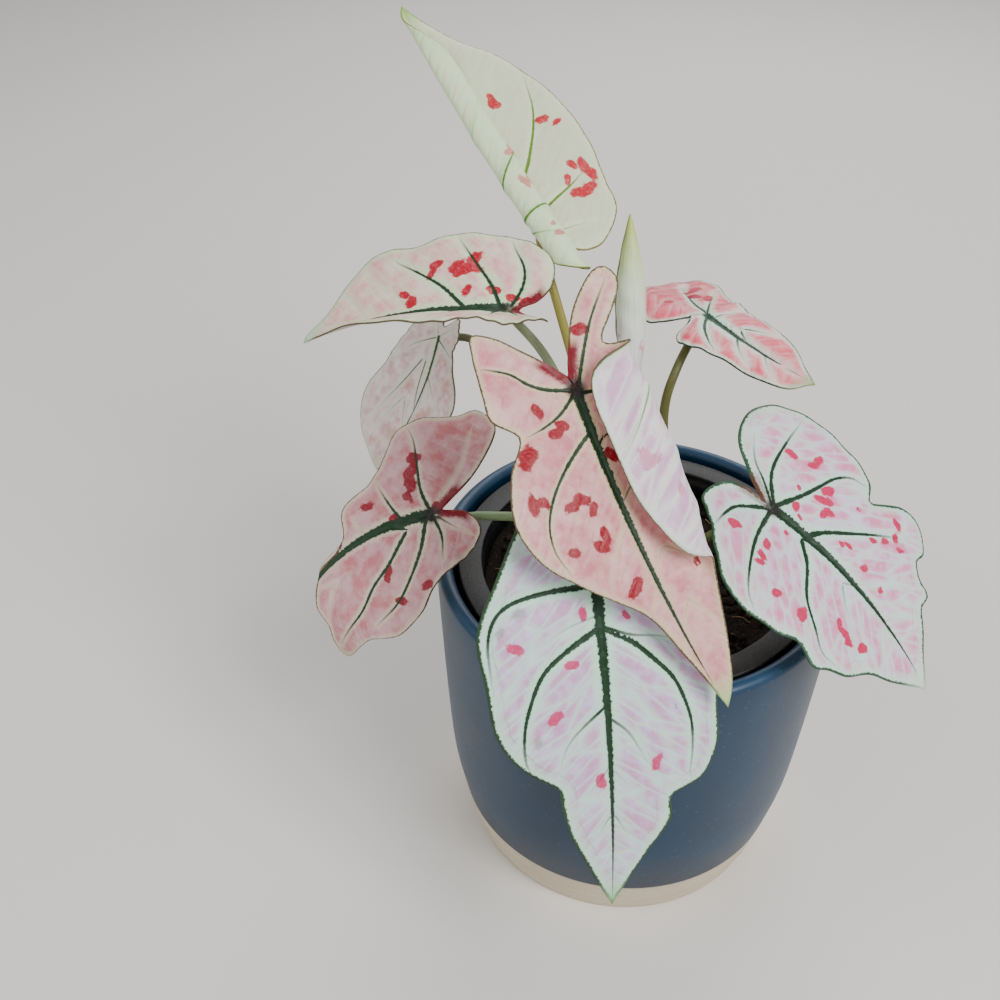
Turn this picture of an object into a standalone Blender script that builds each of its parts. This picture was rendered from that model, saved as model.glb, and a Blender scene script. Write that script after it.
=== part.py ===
"""A caladium growing in a plastic nursery pot that stands inside a glazed ceramic pot.

The origin is the centre of the ceramic pot's base, +Z is up and the side seen first faces -Y.
Lengths in the tables are millimetres, and MM turns them into Blender's metres.
"""

from dataclasses import dataclass
from math import cos, pi, radians, sin, sqrt

import bmesh
import bpy
import numpy as np

MM = 0.001
GAP = 0.3  # clearance kept between pieces that touch
TURNED_SIDES = 40

POT_HEIGHT = 128.0
POT_RADIUS = 70.0
POT_LIP_THICKNESS = 5.5
POT_FLOOR = 8.0
GLAZE_START = 19.3
GLAZE_STEP = 0.4
# radius and height of points up the outside of the pot, and down its inside
POT_FOOT_PROFILE = ((0, 0), (57.0, 0), (59.5, POT_FLOOR), (61.6, GLAZE_START))
POT_WALL_PROFILE = ((62.0, GLAZE_START + GLAZE_STEP), (65.6, 40.0), (67.4, 65.0), (68.9, 95.0))
POT_INSIDE_PROFILE = ((63.5, 112.0), (61.5, 40.0), (55.0, 12.0), (50.0, POT_FLOOR), (0, POT_FLOOR))

NURSERY_TOP = 125.5
NURSERY_RIM_RADIUS = 62.6
NURSERY_RIM_DEPTH = 7.0
NURSERY_MOUTH_RADIUS = 55.5
NURSERY_BASE_RADIUS = 46.0
NURSERY_WALL = 1.3
NURSERY_EDGE = 0.6  # bevel on the rim's edges
DRAIN_HOLES = 4
DRAIN_HOLE_RADIUS = 4.0
DRAIN_HOLE_REACH = 33.0
HOLE_SIDES = 10

SOIL_EDGE_TOP = 117.0
SOIL_DOME = 2.5
SOIL_BUMP = 1.3

TUBER_RADIUS = 20.0
TUBER_HALF_HEIGHT = 11.0
TUBER_CENTRE = 84.0

BLADE_THICKNESS = 0.8
PETIOLE_FOOT_RADIUS = 2.2
PETIOLE_TIP_RADIUS = 1.4
PETIOLE_SIDES = 7


@dataclass
class Leaf:
    """One leaf: where its blade meets the petiole, how the blade lies and the two halves of its outline.

    An outline point is (distance along the midrib from the joint, distance out from the midrib),
    listed from the tip to the bottom of the notch between the two basal lobes. foot is where its
    stalk enters the soil, and way lists points that the stalk passes from the joint down. A young
    or folded blade rolls its left half up from rolled_start millimetres out, by rolled_turn degrees.
    """

    name: str
    joint: tuple
    heading: float
    pitch: float
    length: float
    left: tuple
    right: tuple
    colour: tuple
    foot: tuple
    way: tuple = ()
    arch: float = 0.0
    hook: float = 0.0
    sweep: float = 0.0
    bank: float = 0.0
    fold: tuple = (0.0, 0.0)
    curl: tuple = (0.0, 0.0)
    rolled_start: float = 0.0
    rolled_slope: float = 0.0
    rolled_radius: float = 0.0
    rolled_turn: float = 360.0
    rolled_fade: float = 0.0
    wave: float = 0.8
    waves: int = 6
    rays: int = 14
    rings: int = 5


PINK = (0.78, 0.42, 0.43)
BLUSH = (0.80, 0.66, 0.66)
CREAM = (0.79, 0.80, 0.66)

LEAVES = (
    Leaf(
        name="front",
        joint=(-11, -61, 165),
        heading=-69.6,
        pitch=-53.7,
        length=111,
        arch=30,
        bank=3,
        fold=(6, 6),
        curl=(-14, -14),
        left=((111, 0), (102, 4), (90, 11), (81, 17), (76, 19), (70, 17), (67, 27), (62, 31), (55, 34),
              (43, 35), (28, 36), (10, 36), (-8, 33), (-23, 26), (-31, 17), (-27, 8), (-14, 3), (-4, 0)),
        right=((111, 0), (97, 6), (85, 11), (77, 14), (67, 16), (61, 17), (54, 26), (46, 32), (38, 35),
               (26, 36), (10, 37), (-5, 30), (-16, 24), (-26, 17), (-25, 8), (-13, 3), (-4, 0)),
        colour=BLUSH,
        foot=(-2, -9),
        way=((-6, -45, 153), (-4, -24, 138)),
        wave=0.8,
        rays=16,
    ),
    Leaf(
        name="centre",
        joint=(-21.8, -34, 214.5),
        heading=-36.6,
        pitch=-40,
        length=106,
        arch=22,
        bank=-20,
        fold=(5, 8),
        rolled_start=14,
        rolled_slope=-0.12,
        rolled_radius=4.5,
        rolled_turn=185,
        rolled_fade=-14,
        left=((106, 0), (98, 4), (86, 7), (68, 11), (61, 15), (56, 25), (46, 32), (34, 37), (20, 39),
              (4, 40), (-2, 36), (-3, 26), (-6, 16), (-9, 15), (-14, 22), (-20, 28), (-26, 27),
              (-26, 21), (-18, 10), (-4, 0)),
        right=((106, 0), (97, 3), (83, 8), (69, 13), (59, 21), (52, 27), (41, 35), (32, 38), (22, 37),
               (12, 31), (4, 23), (-4, 28), (-14, 25), (-22, 22), (-28, 19), (-24, 13), (-17, 8),
               (-11, 4), (-4, 0)),
        colour=PINK,
        foot=(-4, -2.5),
        way=((-16, -20, 195), (-9, -9, 160)),
        wave=0.6,
        rays=22,
        rings=12,
    ),
    Leaf(
        name="right",
        joint=(41.7, -11, 160.5),
        heading=-28.5,
        pitch=-29.7,
        length=76,
        arch=12,
        fold=(4, 4),
        left=((76, 0), (70, 6), (64, 13), (58, 20), (57, 27), (51, 29), (47, 34), (47, 40), (38, 47),
              (30, 45), (23, 35), (18, 41), (7, 44), (-9, 45), (-22, 37), (-28, 24), (-24, 12),
              (-14, 5), (-4, 0)),
        right=((76, 0), (65, 11), (57, 18), (51, 28), (45, 33), (40, 38), (32, 36), (24, 40), (8, 42),
               (-4, 35), (-12, 26), (-19, 19), (-18, 9), (-12, 3), (-4, 0)),
        colour=BLUSH,
        foot=(8, -4),
        way=((28, -7, 148),),
        rays=16,
    ),
    Leaf(
        name="left",
        joint=(-68.6, -18, 150),
        heading=201.7,
        pitch=-26.6,
        length=70,
        arch=20,
        hook=45,
        sweep=35,
        bank=30,
        left=((52, 0), (56, 7), (63, 8), (70, 11), (66, 15), (56, 19), (46, 22), (34, 28), (20, 27),
              (9, 22), (-6, 18), (-13, 13), (-11, 5), (-4, 0)),
        right=((52, 0), (47, 4), (42, 7), (34, 8), (30, 11), (25, 19), (15, 21), (6, 28), (0, 33),
               (-10, 33), (-21, 28), (-29, 26), (-32, 16), (-20, 6), (-4, 0)),
        colour=PINK,
        foot=(-9.5, -6),
        way=((-60, -17, 149.3), (-50, -15, 149.5), (-32, -12, 146)),
        wave=1.0,
    ),
    Leaf(
        name="upper_left",
        joint=(-46.4, -3.2, 221),
        heading=174,
        pitch=-2.6,
        length=72,
        arch=30,
        fold=(20, 24),
        left=((73, 0), (65, 5), (50, 12), (37, 16), (24, 18), (8, 19), (-6, 16), (-15, 10), (-11, 4),
              (-4, 0)),
        right=((73, 0), (72, 4), (65, 10), (53, 25), (43, 28), (34, 27), (20, 31), (6, 30), (-3, 27),
               (-11, 20), (-11, 9), (-4, 0)),
        colour=BLUSH,
        foot=(-10.5, 1),
        way=((-32.5, -3, 203), (-18, 0, 165)),
    ),
    Leaf(
        name="back_left",
        joint=(-76.8, 40, 184),
        heading=229.9,
        pitch=-44.8,
        length=54,
        arch=20,
        fold=(5, 5),
        left=((54, 0), (49, 6), (42, 13), (32, 21), (22, 25), (14, 22), (8, 16), (2, 11), (-5, 8),
              (-9, 4), (-4, 0)),
        right=((54, 0), (47, 10), (38, 17), (28, 18), (17, 15), (5, 14), (-6, 11), (-12, 6), (-4, 0)),
        colour=BLUSH,
        foot=(-9, 8),
        way=((-62, 42, 181), (-38, 31, 162)),
        wave=0.5,
        rays=12,
    ),
    Leaf(
        name="top",
        joint=(-42.4, 35, 230.5),
        heading=133.5,
        pitch=28.3,
        length=95,
        arch=-8,
        bank=22,
        fold=(75, -4),
        rolled_start=0.5,
        rolled_radius=5,
        left=((95, 0), (84, 6), (70, 13), (55, 19), (38, 23), (20, 25), (4, 25), (-8, 25), (-17, 23),
              (-22, 18), (-23, 12), (-18, 6), (-11, 2), (-4, 0)),
        right=((95, 0), (86, 4), (75, 11), (63, 21), (51, 27), (38, 31), (20, 32), (4, 29), (-8, 26),
               (-16, 15), (-13, 6), (-4, 0)),
        colour=CREAM,
        foot=(-2.5, 10),
        way=((-26, 21, 187),),
        wave=0.3,
        rays=16,
        rings=8,
    ),
    Leaf(
        name="back_right",
        joint=(15, 42, 200),
        heading=-45.8,
        pitch=9.9,
        length=51,
        arch=24,
        bank=-6,
        fold=(-10, 0),
        left=((51, 0), (44, 2), (36, 6), (26, 8), (15, 11), (4, 13), (-8, 18), (-18, 22), (-27, 20),
              (-33, 13), (-35, 6), (-33, 0)),
        right=((51, 0), (47, 9), (38, 14), (28, 16), (18, 18), (9, 19), (3, 16), (-2, 5), (-8, 12),
               (-15, 14), (-24, 9), (-31, 4), (-33, 0)),
        colour=PINK,
        foot=(8, 8),
        way=((7, 24, 188), (4.5, 19, 172), (8, 13, 145)),
        rays=12,
    ),
)

SPEAR_FOOT = (2.5, 2.5)
SPEAR_WAY = ((-1, 12, 142),)
SPEAR_JOINT = (-6.5, 28, 166)
SPEAR_TIP = (-13, 53, 229)
SPEAR_RADIUS = 5.2
SPEAR_OVERLAP = 0.9
SPEAR_SIDES = 12
SPEAR_RINGS = 9

SPEAR_COLOUR = (0.55, 0.62, 0.38)
PETIOLE_COLOUR = (0.33, 0.36, 0.16)
GLAZE_COLOUR = (0.02, 0.05, 0.12)
PLASTIC_COLOUR = (0.13, 0.13, 0.14)
PEAT_COLOUR = (0.02, 0.016, 0.013)
TUBER_COLOUR = (0.16, 0.09, 0.05)


def clear_scene():
    for thing in list(bpy.data.objects):
        bpy.data.objects.remove(thing, do_unlink=True)


def material(name, colour, roughness):
    made = bpy.data.materials.new(name)
    made.use_nodes = True
    shader = made.node_tree.nodes["Principled BSDF"]
    shader.inputs["Base Color"].default_value = (*colour, 1.0)
    shader.inputs["Roughness"].default_value = roughness
    return made


def add_object(name, points, faces, finish):
    """A mesh object from points in millimetres, with its normals facing out."""
    mesh = bpy.data.meshes.new(name)
    mesh.from_pydata([tuple(float(v) * MM for v in p) for p in points], [], faces)
    mesh.materials.append(finish)
    made = bpy.data.objects.new(name, mesh)
    bpy.context.scene.collection.objects.link(made)
    return made


def recalculate_normals(thing):
    shape = bmesh.new()
    shape.from_mesh(thing.data)
    bmesh.ops.recalc_face_normals(shape, faces=shape.faces)
    shape.to_mesh(thing.data)
    shape.free()


def ease(x):
    x = np.clip(x, 0.0, 1.0)
    return x * x * (3.0 - 2.0 * x)


def smooth_line(points, count):
    """Evenly spaced points along a Catmull-Rom curve through the given points."""
    given = np.asarray(points, float)
    padded = np.vstack([2 * given[0] - given[1], given, 2 * given[-1] - given[-2]])
    t = np.linspace(0.0, 1.0, 16, endpoint=False)[:, None]
    pieces = []
    for p0, p1, p2, p3 in zip(padded, padded[1:], padded[2:], padded[3:]):
        bend_2 = 2 * p0 - 5 * p1 + 4 * p2 - p3
        bend_3 = -p0 + 3 * p1 - 3 * p2 + p3
        pieces.append(0.5 * (2 * p1 + (p2 - p0) * t + bend_2 * t**2 + bend_3 * t**3))
    line = np.vstack(pieces + [given[-1:]])
    steps = np.linalg.norm(np.diff(line, axis=0), axis=1)
    along = np.concatenate([[0.0], np.cumsum(steps)])
    places = np.linspace(0.0, along[-1], count)
    return np.stack([np.interp(places, along, line[:, i]) for i in range(line.shape[1])], axis=-1)


def blade_outline(leaf, rays):
    """The margin as one loop: the tip, the left half to the notch, and the right half back."""
    left = smooth_line(leaf.left, rays + 1)
    right = smooth_line(leaf.right, rays + 1) * (1, -1)
    return np.vstack([left, right[::-1][1:-1]])


def midrib_frame(leaf, s):
    """Points on the midrib at distances s, with the directions along it, out of the face and left."""
    grid = np.linspace(-0.75 * leaf.length, 1.02 * leaf.length, 178)
    share = grid / leaf.length
    pitch = radians(1) * (
        leaf.pitch - leaf.arch * np.clip(share, 0, 1.1) - leaf.hook * ease((share - 0.55) / 0.45)
    )
    heading = radians(1) * (leaf.heading + leaf.sweep * np.clip(share, 0, 1) ** 2)
    along = np.stack([np.cos(pitch) * np.cos(heading), np.cos(pitch) * np.sin(heading), np.sin(pitch)], -1)
    level = np.stack([-np.sin(heading), np.cos(heading), 0 * heading], -1)
    face = np.cross(along, level)
    bank = radians(leaf.bank)
    face = face * cos(bank) + level * sin(bank)
    steps = (along[1:] + along[:-1]) / 2 * np.diff(grid)[:, None]
    place = np.vstack([np.zeros(3), np.cumsum(steps, axis=0)])

    def at(values, where):
        return np.stack([np.interp(where, grid, values[:, i]) for i in range(3)], axis=-1)

    place = place - at(place, 0.0) + np.asarray(leaf.joint, float)
    along, face = at(along, s), at(face, s)
    along /= np.linalg.norm(along, axis=-1, keepdims=True)
    face -= along * (face * along).sum(-1, keepdims=True)
    face /= np.linalg.norm(face, axis=-1, keepdims=True)
    return at(place, s), along, face, np.cross(face, along)


def bend_blade(leaf, s, t):
    """Places of the flat blade's points (s along the midrib, t to its left) on the bent blade."""
    place, _, face, left = midrib_frame(leaf, s)
    out = np.abs(t)
    on_left = t > 0
    fold = np.where(on_left, leaf.fold[0], leaf.fold[1])
    curl = np.where(on_left, leaf.curl[0], leaf.curl[1])
    width = np.where(on_left, np.max(leaf.left, axis=0)[1], np.max(leaf.right, axis=0)[1])
    start = leaf.rolled_start + leaf.rolled_slope * np.clip(s, 0, None)
    fade = ease(1 - s / leaf.rolled_fade) if leaf.rolled_fade else 1.0
    steps = 24
    across, raised = np.zeros_like(out), np.zeros_like(out)
    for step in range(steps):
        here = out * (step + 0.5) / steps
        angle = radians(1) * (fold * ease(here / 7.0 + 0.15) + curl * here / width)
        if leaf.rolled_radius:
            roll = np.clip((here - start) / leaf.rolled_radius, 0, radians(leaf.rolled_turn))
            angle = angle + np.where(on_left, fade * roll, 0)
        across += np.cos(angle) * out / steps
        raised += np.sin(angle) * out / steps
    return place + left * (np.sign(t) * across)[..., None] + face * raised[..., None]


def blade_points(leaf):
    """The middle surface of a blade: rings of points that grow from the joint to the waved margin."""
    loop = blade_outline(leaf, leaf.rays)
    size = (np.arange(1, leaf.rings + 1) / leaf.rings)[:, None]
    s = size * loop[:, 0]
    t = size * loop[:, 1]
    rings = bend_blade(leaf, s, t)
    ahead = bend_blade(leaf, s + 0.3, t) - rings
    beside = bend_blade(leaf, s, t + np.where(t > 0, 0.3, -0.3)) - rings
    normal = np.cross(ahead, beside * np.where(t > 0, 1, -1)[..., None])
    normal /= np.linalg.norm(normal, axis=-1, keepdims=True)
    turn = np.arctan2(t, s)
    rise = leaf.wave * size**2 * np.sin(leaf.waves * turn)
    return rings + normal * rise[..., None]


def blade_faces(rings, rays):
    """Triangles round the joint (point 0) and between one ring and the next."""
    faces = []
    for ray in range(rays):
        after = (ray + 1) % rays
        faces.append((0, 1 + ray, 1 + after))
        for ring in range(rings - 1):
            inner = 1 + ring * rays
            outer = inner + rays
            faces.append((inner + ray, outer + ray, outer + after))
            faces.append((inner + ray, outer + after, inner + after))
    return faces


def make_blade(leaf):
    rings = blade_points(leaf)
    points = np.vstack([np.array([leaf.joint], float), rings.reshape(-1, 3)])
    finish = material(f"{leaf.name}_blade", leaf.colour, 0.45)
    blade = add_object(f"leaf_{leaf.name}", points, blade_faces(leaf.rings, 2 * leaf.rays), finish)
    thicken = blade.modifiers.new("thickness", "SOLIDIFY")
    thicken.thickness = BLADE_THICKNESS * MM
    thicken.offset = 0.0
    return blade


def tuber_top(x, y):
    return TUBER_CENTRE + TUBER_HALF_HEIGHT * sqrt(max(0.0, 1 - (x * x + y * y) / TUBER_RADIUS**2))


def tube(points, radii, sides, last_normal=None):
    """Points and faces of a capped tube; its last ring lies square to last_normal."""
    line = np.asarray(points, float)
    along = np.gradient(line, axis=0)
    along /= np.linalg.norm(along, axis=1, keepdims=True)
    if last_normal is not None:
        along[-1] = last_normal
    side = np.array([1.0, 0.0, 0.0])
    rings = []
    for place, direction, radius in zip(line, along, radii):
        side = side - direction * (side @ direction)
        side /= np.linalg.norm(side)
        other = np.cross(direction, side)
        turns = 2 * pi * np.arange(sides) / sides
        rings.append(place + radius * (np.cos(turns)[:, None] * side + np.sin(turns)[:, None] * other))
    faces = [tuple(range(sides))[::-1]]
    for ring in range(len(line) - 1):
        for i in range(sides):
            a = ring * sides + i
            b = ring * sides + (i + 1) % sides
            faces.append((a, b, b + sides, a + sides))
    top = (len(line) - 1) * sides
    faces.append(tuple(range(top, top + sides)))
    return np.vstack(rings), faces


def petiole_line(foot, way, end, count):
    """A route that leaves the tuber upright through the soil and curves to the blade."""
    x, y = foot
    reach = sqrt(x * x + y * y) + PETIOLE_FOOT_RADIUS
    low = tuber_top(max(0.0, reach - 2 * PETIOLE_FOOT_RADIUS), 0.0) + GAP
    above = (x, y, SOIL_EDGE_TOP + SOIL_DOME + 3.0)
    rest = smooth_line((above, *way[::-1], end), count)
    return np.vstack([(x, y, low), (x, y, SOIL_EDGE_TOP - 5.0), rest])


def make_petiole(name, foot, way, joint, face, below=BLADE_THICKNESS / 2 + 1.3 * GAP):
    """The stalk from the tuber up to just under the blade at its joint."""
    end = np.asarray(joint, float) - np.asarray(face) * below
    line = petiole_line(foot, way, end, 10)
    share = np.linspace(0.0, 1.0, len(line))
    radii = PETIOLE_FOOT_RADIUS + (PETIOLE_TIP_RADIUS - PETIOLE_FOOT_RADIUS) * share
    points, faces = tube(line, radii, PETIOLE_SIDES, face)
    stalk = add_object(f"petiole_{name}", points, faces, material(f"{name}_stalk", PETIOLE_COLOUR, 0.5))
    recalculate_normals(stalk)
    return stalk


def make_spear():
    """The youngest leaf, still rolled up: a slim spindle whose outer edge laps over itself."""
    start, end = np.asarray(SPEAR_JOINT, float), np.asarray(SPEAR_TIP, float)
    along = (end - start) / np.linalg.norm(end - start)
    side = np.cross(along, (0.0, 0.0, 1.0))
    side /= np.linalg.norm(side)
    other = np.cross(along, side)
    sides = SPEAR_SIDES
    points, faces = [start], []
    for ring in range(SPEAR_RINGS):
        share = (ring + 0.5) / SPEAR_RINGS
        radius = SPEAR_RADIUS * sin(pi * (0.12 + 0.88 * share) ** 1.3) + 0.25
        for i in range(sides):
            turn = 2 * pi * i / sides
            reach = radius + SPEAR_OVERLAP * share * (1 - share) * 2 * i / sides
            points.append(start + (end - start) * share + reach * (cos(turn) * side + sin(turn) * other))
    points.append(end)
    for i in range(sides):
        after = (i + 1) % sides
        faces.append((0, 1 + after, 1 + i))
        for ring in range(SPEAR_RINGS - 1):
            a, b = 1 + ring * sides + i, 1 + ring * sides + after
            faces.append((a, b, b + sides, a + sides))
        last = 1 + (SPEAR_RINGS - 1) * sides
        faces.append((last + i, last + after, len(points) - 1))
    spear = add_object("leaf_spear", points, faces, material("spear_blade", SPEAR_COLOUR, 0.45))
    recalculate_normals(spear)
    return along


def turned(name, profile, sides, finish):
    """A closed solid turned about Z from (radius, height) points; radius 0 closes it on the axis."""
    points, faces, rows = [], [], []
    for radius, height in profile:
        if radius == 0:
            rows.append([len(points)] * sides)
            points.append((0.0, 0.0, height))
            continue
        rows.append(list(range(len(points), len(points) + sides)))
        for i in range(sides):
            turn = 2 * pi * i / sides
            points.append((radius * cos(turn), radius * sin(turn), height))
    for lower, upper in zip(rows, rows[1:]):
        for i in range(sides):
            after = (i + 1) % sides
            corners = (lower[i], lower[after], upper[after], upper[i])
            faces.append(tuple(dict.fromkeys(corners)))
    made = add_object(name, points, faces, finish)
    recalculate_normals(made)
    return made


def arc(centre, radius, start, end, count):
    """Points of an arc in the profile plane, from start to end degrees."""
    turns = [radians(start + (end - start) * i / (count - 1)) for i in range(count)]
    return [(centre[0] + radius * cos(a), centre[1] + radius * sin(a)) for a in turns]


def make_pot():
    lip = POT_LIP_THICKNESS / 2
    rim = arc((POT_RADIUS - lip, POT_HEIGHT - lip), lip, 0, 180, 7)
    profile = [*POT_FOOT_PROFILE, *POT_WALL_PROFILE, *rim, *POT_INSIDE_PROFILE]
    turned("pot", profile, TURNED_SIDES, material("glaze", GLAZE_COLOUR, 0.3))


def nursery_inner_radius(height):
    low = POT_FLOOR + GAP
    share = (height - low) / (NURSERY_TOP - low)
    return NURSERY_BASE_RADIUS + (NURSERY_MOUTH_RADIUS - NURSERY_BASE_RADIUS) * share - NURSERY_WALL


def make_nursery_pot():
    low = POT_FLOOR + GAP
    under_rim = NURSERY_TOP - NURSERY_WALL
    skirt_low = NURSERY_TOP - NURSERY_RIM_DEPTH
    skirt_inside = NURSERY_RIM_RADIUS - NURSERY_WALL
    mouth = nursery_inner_radius(NURSERY_TOP)
    profile = [
        (0, low),
        (NURSERY_BASE_RADIUS, low),
        (mouth + NURSERY_WALL, under_rim),
        (skirt_inside, under_rim),
        (skirt_inside, skirt_low),
        (NURSERY_RIM_RADIUS, skirt_low),
        (NURSERY_RIM_RADIUS, NURSERY_TOP - NURSERY_EDGE),
        (NURSERY_RIM_RADIUS - NURSERY_EDGE, NURSERY_TOP),
        (mouth + NURSERY_EDGE, NURSERY_TOP),
        (mouth, NURSERY_TOP - NURSERY_EDGE),
        (nursery_inner_radius(low), low + NURSERY_WALL),
        (0, low + NURSERY_WALL),
    ]
    pot = turned("nursery_pot", profile, TURNED_SIDES, material("plastic", PLASTIC_COLOUR, 0.55))
    for hole in range(DRAIN_HOLES):
        turn = 2 * pi * (hole + 0.5) / DRAIN_HOLES
        x, y = DRAIN_HOLE_REACH * cos(turn), DRAIN_HOLE_REACH * sin(turn)
        cut(pot, cylinder("drain_cutter", DRAIN_HOLE_RADIUS, low - 5, low + 5, HOLE_SIDES, x, y))


def cylinder(name, radius, low, high, sides, x=0.0, y=0.0):
    bpy.ops.mesh.primitive_cylinder_add(
        vertices=sides,
        radius=radius * MM,
        depth=(high - low) * MM,
        location=(x * MM, y * MM, (low + high) / 2 * MM),
    )
    made = bpy.context.object
    made.name = name
    made.data.transform(made.matrix_world)
    made.matrix_world.identity()
    return made


def cut(target, cutter):
    """Take the cutter's shape out of the target, then drop the cutter."""
    boolean = target.modifiers.new("cut", "BOOLEAN")
    boolean.operation = "DIFFERENCE"
    boolean.object = cutter
    bpy.context.view_layer.objects.active = target
    bpy.ops.object.modifier_apply(modifier=boolean.name)
    bpy.data.objects.remove(cutter, do_unlink=True)


def make_tuber():
    finish = material("tuber_skin", TUBER_COLOUR, 0.8)
    profile = []
    for step in range(9):
        turn = radians(-90 + 180 * step / 8)
        reach = 0 if step in (0, 8) else TUBER_RADIUS * cos(turn)
        profile.append((reach, TUBER_CENTRE + TUBER_HALF_HEIGHT * sin(turn)))
    turned("tuber", profile, 16, finish)


def soil_height(radius, turn):
    """A low dome with lumps made of a few waves."""
    share = radius / NURSERY_MOUTH_RADIUS
    lumps = sin(3 * turn + 1.3) * sin(7 * share + 0.4) + 0.7 * sin(8 * turn + 11 * share)
    return SOIL_EDGE_TOP + SOIL_DOME * (1 - share**2) + SOIL_BUMP * lumps * min(1.0, 2 * share) * 0.5


def make_soil():
    low = POT_FLOOR + 2 * GAP + NURSERY_WALL
    sides = TURNED_SIDES
    base = nursery_inner_radius(low) - GAP
    edge = nursery_inner_radius(SOIL_EDGE_TOP) - GAP
    radii = (edge, 0.86 * edge, 0.66 * edge, 0.45 * edge, 0.36 * edge)
    points = [(0, 0, low)]
    for i in range(sides):
        turn = 2 * pi * i / sides
        points.append((base * cos(turn), base * sin(turn), low))
    for radius in radii:
        for i in range(sides):
            turn = 2 * pi * i / sides
            points.append((radius * cos(turn), radius * sin(turn), soil_height(radius, turn)))
    points.append((0, 0, SOIL_EDGE_TOP + SOIL_DOME))
    faces = []
    for i in range(sides):
        after = (i + 1) % sides
        faces.append((0, 1 + after, 1 + i))
        for ring in range(len(radii)):
            a, b = 1 + ring * sides + i, 1 + ring * sides + after
            faces.append((a, b, b + sides, a + sides))
        last = 1 + len(radii) * sides
        faces.append((last + i, last + after, len(points) - 1))
    soil = add_object("soil", points, faces, material("peat", PEAT_COLOUR, 0.95))
    recalculate_normals(soil)
    return soil


def open_soil(soil):
    """The hollow that the tuber fills, and a plain hole for each stalk."""
    bpy.ops.mesh.primitive_uv_sphere_add(segments=16, ring_count=8, radius=MM, location=(0, 0, 0))
    hollow = bpy.context.object
    grown = 1.0 + 1.6 * GAP / TUBER_HALF_HEIGHT
    hollow.scale = (TUBER_RADIUS * grown, TUBER_RADIUS * grown, TUBER_HALF_HEIGHT * grown)
    hollow.location = (0, 0, TUBER_CENTRE * MM)
    cut(soil, hollow)
    feet = [leaf.foot for leaf in LEAVES] + [SPEAR_FOOT]
    reach = PETIOLE_FOOT_RADIUS + 1.6 * GAP
    for x, y in feet:
        cut(soil, cylinder("hole_cutter", reach, TUBER_CENTRE, POT_HEIGHT, HOLE_SIDES, x, y))


def main():
    clear_scene()
    make_pot()
    make_nursery_pot()
    open_soil(make_soil())
    make_tuber()
    for leaf in LEAVES:
        make_blade(leaf)
        _, _, face, _ = midrib_frame(leaf, np.array(0.0))
        make_petiole(leaf.name, leaf.foot, leaf.way, leaf.joint, face)
    make_petiole("spear", SPEAR_FOOT, SPEAR_WAY, SPEAR_JOINT, make_spear(), GAP)


main()
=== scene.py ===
# %% [markdown]
# # A caladium in its pot
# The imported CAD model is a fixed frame: every new piece goes where a CAD node already is, and
# takes its place. Lengths in the tables are millimetres, as on the CAD side, and MM turns them
# into Blender's metres.

from dataclasses import dataclass
from math import cos, pi, radians, sin, tau

import bpy
import numpy as np
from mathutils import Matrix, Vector, noise


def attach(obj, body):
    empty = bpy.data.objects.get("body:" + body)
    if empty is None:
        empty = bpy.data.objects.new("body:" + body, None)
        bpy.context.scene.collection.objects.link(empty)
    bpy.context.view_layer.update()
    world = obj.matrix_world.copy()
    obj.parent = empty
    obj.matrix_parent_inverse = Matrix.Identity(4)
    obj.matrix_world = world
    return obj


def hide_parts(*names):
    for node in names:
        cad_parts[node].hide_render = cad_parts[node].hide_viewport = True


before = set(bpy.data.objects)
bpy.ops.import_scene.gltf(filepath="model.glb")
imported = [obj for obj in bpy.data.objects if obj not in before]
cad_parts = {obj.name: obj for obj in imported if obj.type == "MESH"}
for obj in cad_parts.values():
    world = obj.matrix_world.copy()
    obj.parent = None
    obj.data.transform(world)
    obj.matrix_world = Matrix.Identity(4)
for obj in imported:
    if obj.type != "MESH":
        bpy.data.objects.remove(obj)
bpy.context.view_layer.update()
MM = 0.001

# %% [markdown]
# ## Camera
# The photo looks down on the plant from the front. A camera can be placed by eye, or worked out
# from the ellipses of the pot's rim and foot. The second way was used, so the numbers below are
# a fitted position, two angles and a focal length, and nothing needs a shift.

# %% Camera
bpy.ops.object.camera_add(
    location=(0, -0.323, 0.400), rotation=(radians(90 - 38.0), radians(-0.2), radians(8.7))
)
camera = bpy.context.object
camera.name = "camera"
camera.data.lens = 43.2
camera.data.sensor_width = 36.0
bpy.context.scene.camera = camera
print("camera looks along", camera.matrix_world.to_quaternion() @ Vector((0, 0, -1)))

# %% [markdown]
# ## Shader arithmetic
# A pattern such as a vein is a sum of masks, and a node tree hides that sum in a web of links.
# The class below wraps a socket so that masks are written as ordinary expressions, and the
# second class makes every other node from its type, its settings and its inputs.

# %% Numbers and finishes
class Number:
    """A value that changes over a surface. Arithmetic on it adds Math nodes."""

    def __init__(self, finish, socket):
        self.finish = finish
        self.socket = socket

    def math(self, operation, *values):
        node = self.finish.node("ShaderNodeMath", {"operation": operation}, dict(enumerate(values)))
        return Number(self.finish, node.outputs[0])

    def __add__(self, other):
        return self.math("ADD", self, other)

    def __radd__(self, other):
        return self.math("ADD", other, self)

    def __sub__(self, other):
        return self.math("SUBTRACT", self, other)

    def __rsub__(self, other):
        return self.math("SUBTRACT", other, self)

    def __mul__(self, other):
        return self.math("MULTIPLY", self, other)

    def __rmul__(self, other):
        return self.math("MULTIPLY", other, self)

    def __truediv__(self, other):
        return self.math("DIVIDE", self, other)

    def __rtruediv__(self, other):
        return self.math("DIVIDE", other, self)

    def __abs__(self):
        return self.math("ABSOLUTE", self)

    def most(self, other):
        return self.math("MAXIMUM", self, other)

    def least(self, other):
        return self.math("MINIMUM", self, other)

    def clamp(self):
        return self.least(1.0).most(0.0)


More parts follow.
